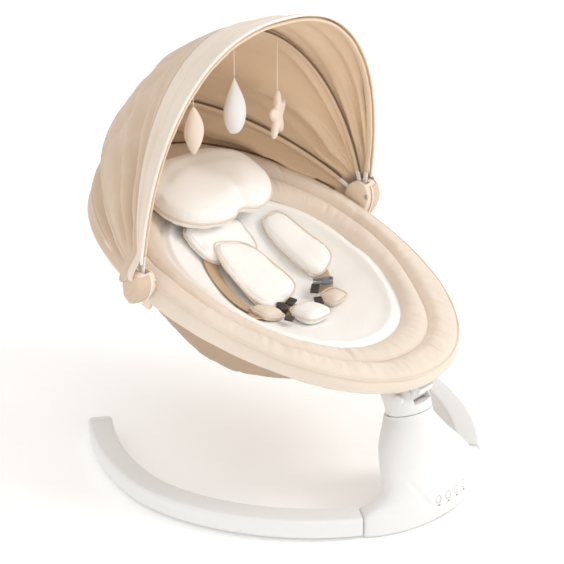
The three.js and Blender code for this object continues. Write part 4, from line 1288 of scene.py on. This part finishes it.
def make_housing():
    heights = np.concatenate([np.linspace(2.5, 34, 16), np.linspace(36, 160, 70)])
    rings = np.array([housing_ring(row, 260) for row in smooth_rows(HOUSING_ROWS, heights)])
    points = placed(rings * MM, ring_frame)
    body = loft("column_shell", points, MATERIALS["white_plastic"])
    seam = Vector((0, -math.sin(-LEAN), math.cos(-LEAN)))
    work = bmesh.new()
    work.from_mesh(body.data)
    cut = Vector(SWING) - seam * 0.4 * MM
    geometry = work.verts[:] + work.edges[:] + work.faces[:]
    made = bmesh.ops.bisect_plane(work, geom=geometry, plane_co=cut, plane_no=seam, clear_outer=True)
    edges = [e for e in made["geom_cut"] if isinstance(e, bmesh.types.BMEdge)]
    bmesh.ops.edgeloop_fill(work, edges=edges)
    work.to_mesh(body.data)
    work.free()
    finish_mesh(body, 38)
    ride(body, "base", "white_plastic", "base_housing", "rear_cover")
    return body


# Height, half-width, front and back of the pivot head, in the swing frame.
HEAD_ROWS = np.array([
    (0.5, 33.0, -33.0, 33.0), (1.3, 33.6, -33.6, 33.6), (16, 33.6, -33.6, 34.5), (28, 33, -31, 37),
    (38, 30.6, -27.8, 37.4), (40, 29, -26, 36.5),
])


def make_head():
    heights = np.concatenate([[0.5, 0.9, 1.3], np.linspace(3, 38, 24), [39.2, 40]])
    angles = circle(160)
    rings = []
    for z, half, front, back in smooth_rows(HEAD_ROWS, heights):
        across = (front + back) / 2 + (back - front) / 2 * np.sin(angles)
        rings.append(raised(np.stack([half * np.cos(angles), across], -1), z))
    head = loft("collar", placed(np.array(rings) * MM, swing_frame), MATERIALS["white_plastic"])
    slot = box_points((-17.6, -60, 13.5), (17.6, 60, 60))
    cut_away(head, placed(slot * MM, swing_frame))
    finish_mesh(head, 38)
    ride(head, "swing_head", "white_plastic", "swing_head")


def box_points(low, high):
    xs, ys, zs = zip(low, high)
    return np.array([(x, y, z) for x in xs for y in ys for z in zs], float)


BOX_FACES = [(0, 1, 3, 2), (4, 6, 7, 5), (0, 4, 5, 1), (2, 3, 7, 6), (0, 2, 6, 4), (1, 5, 7, 3)]


def cut_away(target, points, faces=None):
    """Cuts a closed shape out of a piece and removes the cutter."""
    cutter = mesh_object("cutter", points, faces or BOX_FACES, MATERIALS["white_plastic"])
    modifier = target.modifiers.new("cut", "BOOLEAN")
    modifier.operation = "DIFFERENCE"
    modifier.solver = "EXACT"
    modifier.object = cutter
    bpy.context.view_layer.update()
    evaluated = target.evaluated_get(bpy.context.evaluated_depsgraph_get())
    mesh = bpy.data.meshes.new_from_object(evaluated)
    target.modifiers.clear()
    target.data = mesh
    bpy.data.objects.remove(cutter)


# ---------------------------------------------------------------- buttons and knobs

def turned_part(name, profile, matrix, material, sides=64):
    """A piece turned about Z from pairs of radius and height."""
    flat = np.stack([np.cos(circle(sides)), np.sin(circle(sides))], -1)
    rings = np.array([raised(flat * radius, z) for radius, z in profile])
    return loft(name, placed(rings * MM, matrix), material, sharp_angle=40)


MARK = plastic("printed mark", (0.42, 0.25, 0.12), 0.5)
BUTTONS = ("power", "swing", "music", "timer")


BUTTON = {"pitch": 19.2, "front": -331.6, "level": 35, "slope": 80, "hole": 5.7}


def button_place(number):
    """The frame of a button on the housing's curved front."""
    x = (number - 1.5) * BUTTON["pitch"]
    place = ring_frame @ shifted(x, BUTTON["front"] + 2.9 * (x / 30) ** 2, BUTTON["level"])
    return place @ Matrix.Rotation(math.radians(BUTTON["slope"]), 4, "X")


def make_buttons(body):
    for number, name in enumerate(BUTTONS):
        place = button_place(number)
        cut_away(body, *drum(BUTTON["hole"], -10, 10, 48, place))
        profile = [(4.6, -7.4), (5.1, -7.0), (5.2, 0.6), (5.0, 1.2), (4.4, 1.55), (2.4, 1.75), (0.6, 1.8)]
        cap = turned_part(f"{name}_button_cap", profile, place, MATERIALS["white_plastic"])
        ride(cap, f"{name}_button", "white_plastic", f"{name}_button")
        mark = block(f"{name}_mark", 2.0, 0.8, 0.7, 0.7, place @ shifted(0, -8.6, 1.2), MARK)
        ride(mark, "base", "beige_plastic")
    finish_mesh(body, 38)


# Radius and height, from the middle of the head.
KNOB_PROFILE = [(6.6, 29.0), (7.4, 29.6), (7.5, 31), (7.5, 34), (7.1, 35.2), (6.2, 35.8), (3.5, 36),
                (0.6, 36)]


def make_knobs():
    pivot = Vector(joints["recline"]["pos_m"])
    for name, side in SIDES:
        place = Matrix.Translation(pivot) @ Matrix.Rotation(side * math.pi / 2, 4, "Y")
        knob = turned_part(f"recline_knob_{name}", KNOB_PROFILE, place, MATERIALS["white_plastic"])
        ride(knob, f"recline_button_{name}", "white_plastic", f"recline_button_{name}")


# ---------------------------------------------------------------- toys

PLUSH = fabric("toy plush", (0.80, 0.79, 0.78), pitch=1.0, bump=0.5, sheen=0.4)
TOYS = {
    "moon": dict(height=74, half=17, cloth=MATERIALS["beige_fabric"], slot="beige_fabric"),
    "drop": dict(height=88, half=20, cloth=PLUSH, slot="cream_fabric"),
}
DROP_WIDEST = 0.62      # where a drop is widest, as a share of its height from the top


def toy_width(name, s):
    """The share of a toy's full width at a share of its height from the top."""
    if name == "moon":
        return math.sin(math.pi * s) ** 0.85
    if s < DROP_WIDEST:
        return math.sin(math.pi / 2 * s / DROP_WIDEST) ** 1.15
    return math.sqrt(max(1 - ((s - DROP_WIDEST) / (1 - DROP_WIDEST)) ** 2, 0))


def make_toy(name, toy, place):
    """A round-sided toy hanging below its thread, with a seam down each side."""
    angles = circle(72)
    rings = []
    for s in np.linspace(0, 1, 48):
        width = toy_width(name, s)
        radius = max(toy["half"] * width, 0.4)
        pinch = 1 + 0.03 * np.sin(angles * 6 + s * 9) * (1 - width)
        flat = np.stack([radius * pinch * np.cos(angles), 0.66 * radius * np.sin(angles)], -1)
        rings.append(raised(flat, -1.0 - (toy["height"] - 1.5) * s))
    points = placed(np.array(rings) * MM, place)
    made = loft(f"{name}_plush", points, toy["cloth"])
    soft(made, 0.9, f"{name}_toy", toy["slot"], f"{name}_toy")
    for side, column, out in (("right", 0, 0.0003), ("left", 36, -0.0003)):
        seam = points[1:-1, column] + (out, 0, 0)
        ride(tube(f"{name}_seam_{side}", seam, 0.6 * MM, PIPING, sides=6), f"{name}_toy", "beige_fabric")


def make_toys():
    for name in ("moon", "drop", "star"):
        low, high = (np.array(corner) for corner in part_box(f"{name}_string"))
        bottom = np.array([(low[0] + high[0]) / 2, (low[1] + high[1]) / 2, low[2]])
        top = np.array([bottom[0], bottom[1], high[2]])
        end = bottom + (0, 0, 0.0006)
        t = np.linspace(0, 1, 16)[:, None]
        string = tube(f"{name}_thread", top * (1 - t) + end * t, 0.6 * MM, EDGE_PIPING, sides=8)
        ride(string, f"{name}_string", "cream_fabric", f"{name}_string")
        place = Matrix.Translation(bottom)
        if name == "star":
            make_star(place)
        else:
            make_toy(name, TOYS[name], place)


def make_star(place):
    angles = circle(200)
    radius = 20 + 19 * (0.5 + 0.5 * np.cos(5 * angles)) ** 1.4
    rings = []
    for t in np.linspace(-1, 1, 26):
        scale = max((1 - abs(t) ** 2.2) ** 0.5, 0.02)
        depth = 8 * math.copysign(abs(t) ** 0.9, t) * (0.55 + 0.45 * scale)
        rings.append(np.stack([radius * scale * np.sin(angles), np.full(200, depth),
                               radius * scale * np.cos(angles) - 40], -1))
    turn = place @ Matrix.Rotation(math.radians(28), 4, "Z")
    star = loft("star_plush", placed(np.array(rings) * MM, turn), MATERIALS["beige_fabric"])
    soft(star, 0.9, "star_toy", "beige_fabric", "star_toy")


# ---------------------------------------------------------------- the scene

def make_floor():
    size = 40.0
    points = [(-size, -size, -0.0005), (size, -size, -0.0005), (size, size, -0.0005), (-size, size, -0.0005)]
    paint = plastic("studio floor", (0.985, 0.982, 0.978), 0.9)
    shader = paint.node_tree.nodes["Principled BSDF"]
    shader.inputs["Emission Color"].default_value = (1, 0.995, 0.985, 1)
    shader.inputs["Emission Strength"].default_value = 0.12
    floor = mesh_object("floor", points, [(0, 1, 2, 3)], paint)
    floor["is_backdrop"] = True


def paint_cad_nodes():
    slots = {entry["node"]: entry["material_slot"] for entry in frame["record"]["subparts"]}
    for name, made in frame["nodes"].items():
        made.data.materials.clear()
        made.data.materials.append(MATERIALS[slots[name]])


make_camera()
make_studio()
make_floor()
paint_cad_nodes()
make_rim()
make_hammock()
make_insert()
make_pads()
make_straps()
make_buckle()
make_pillow()
make_canopy()
make_hubs()
make_legs()
column = make_housing()
make_buttons(column)
make_head()
make_knobs()
make_toys()

visual_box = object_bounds()
({"cad": [list(map(float, corner)) for corner in cad_box],
           "visual": [list(map(float, corner)) for corner in visual_box]})
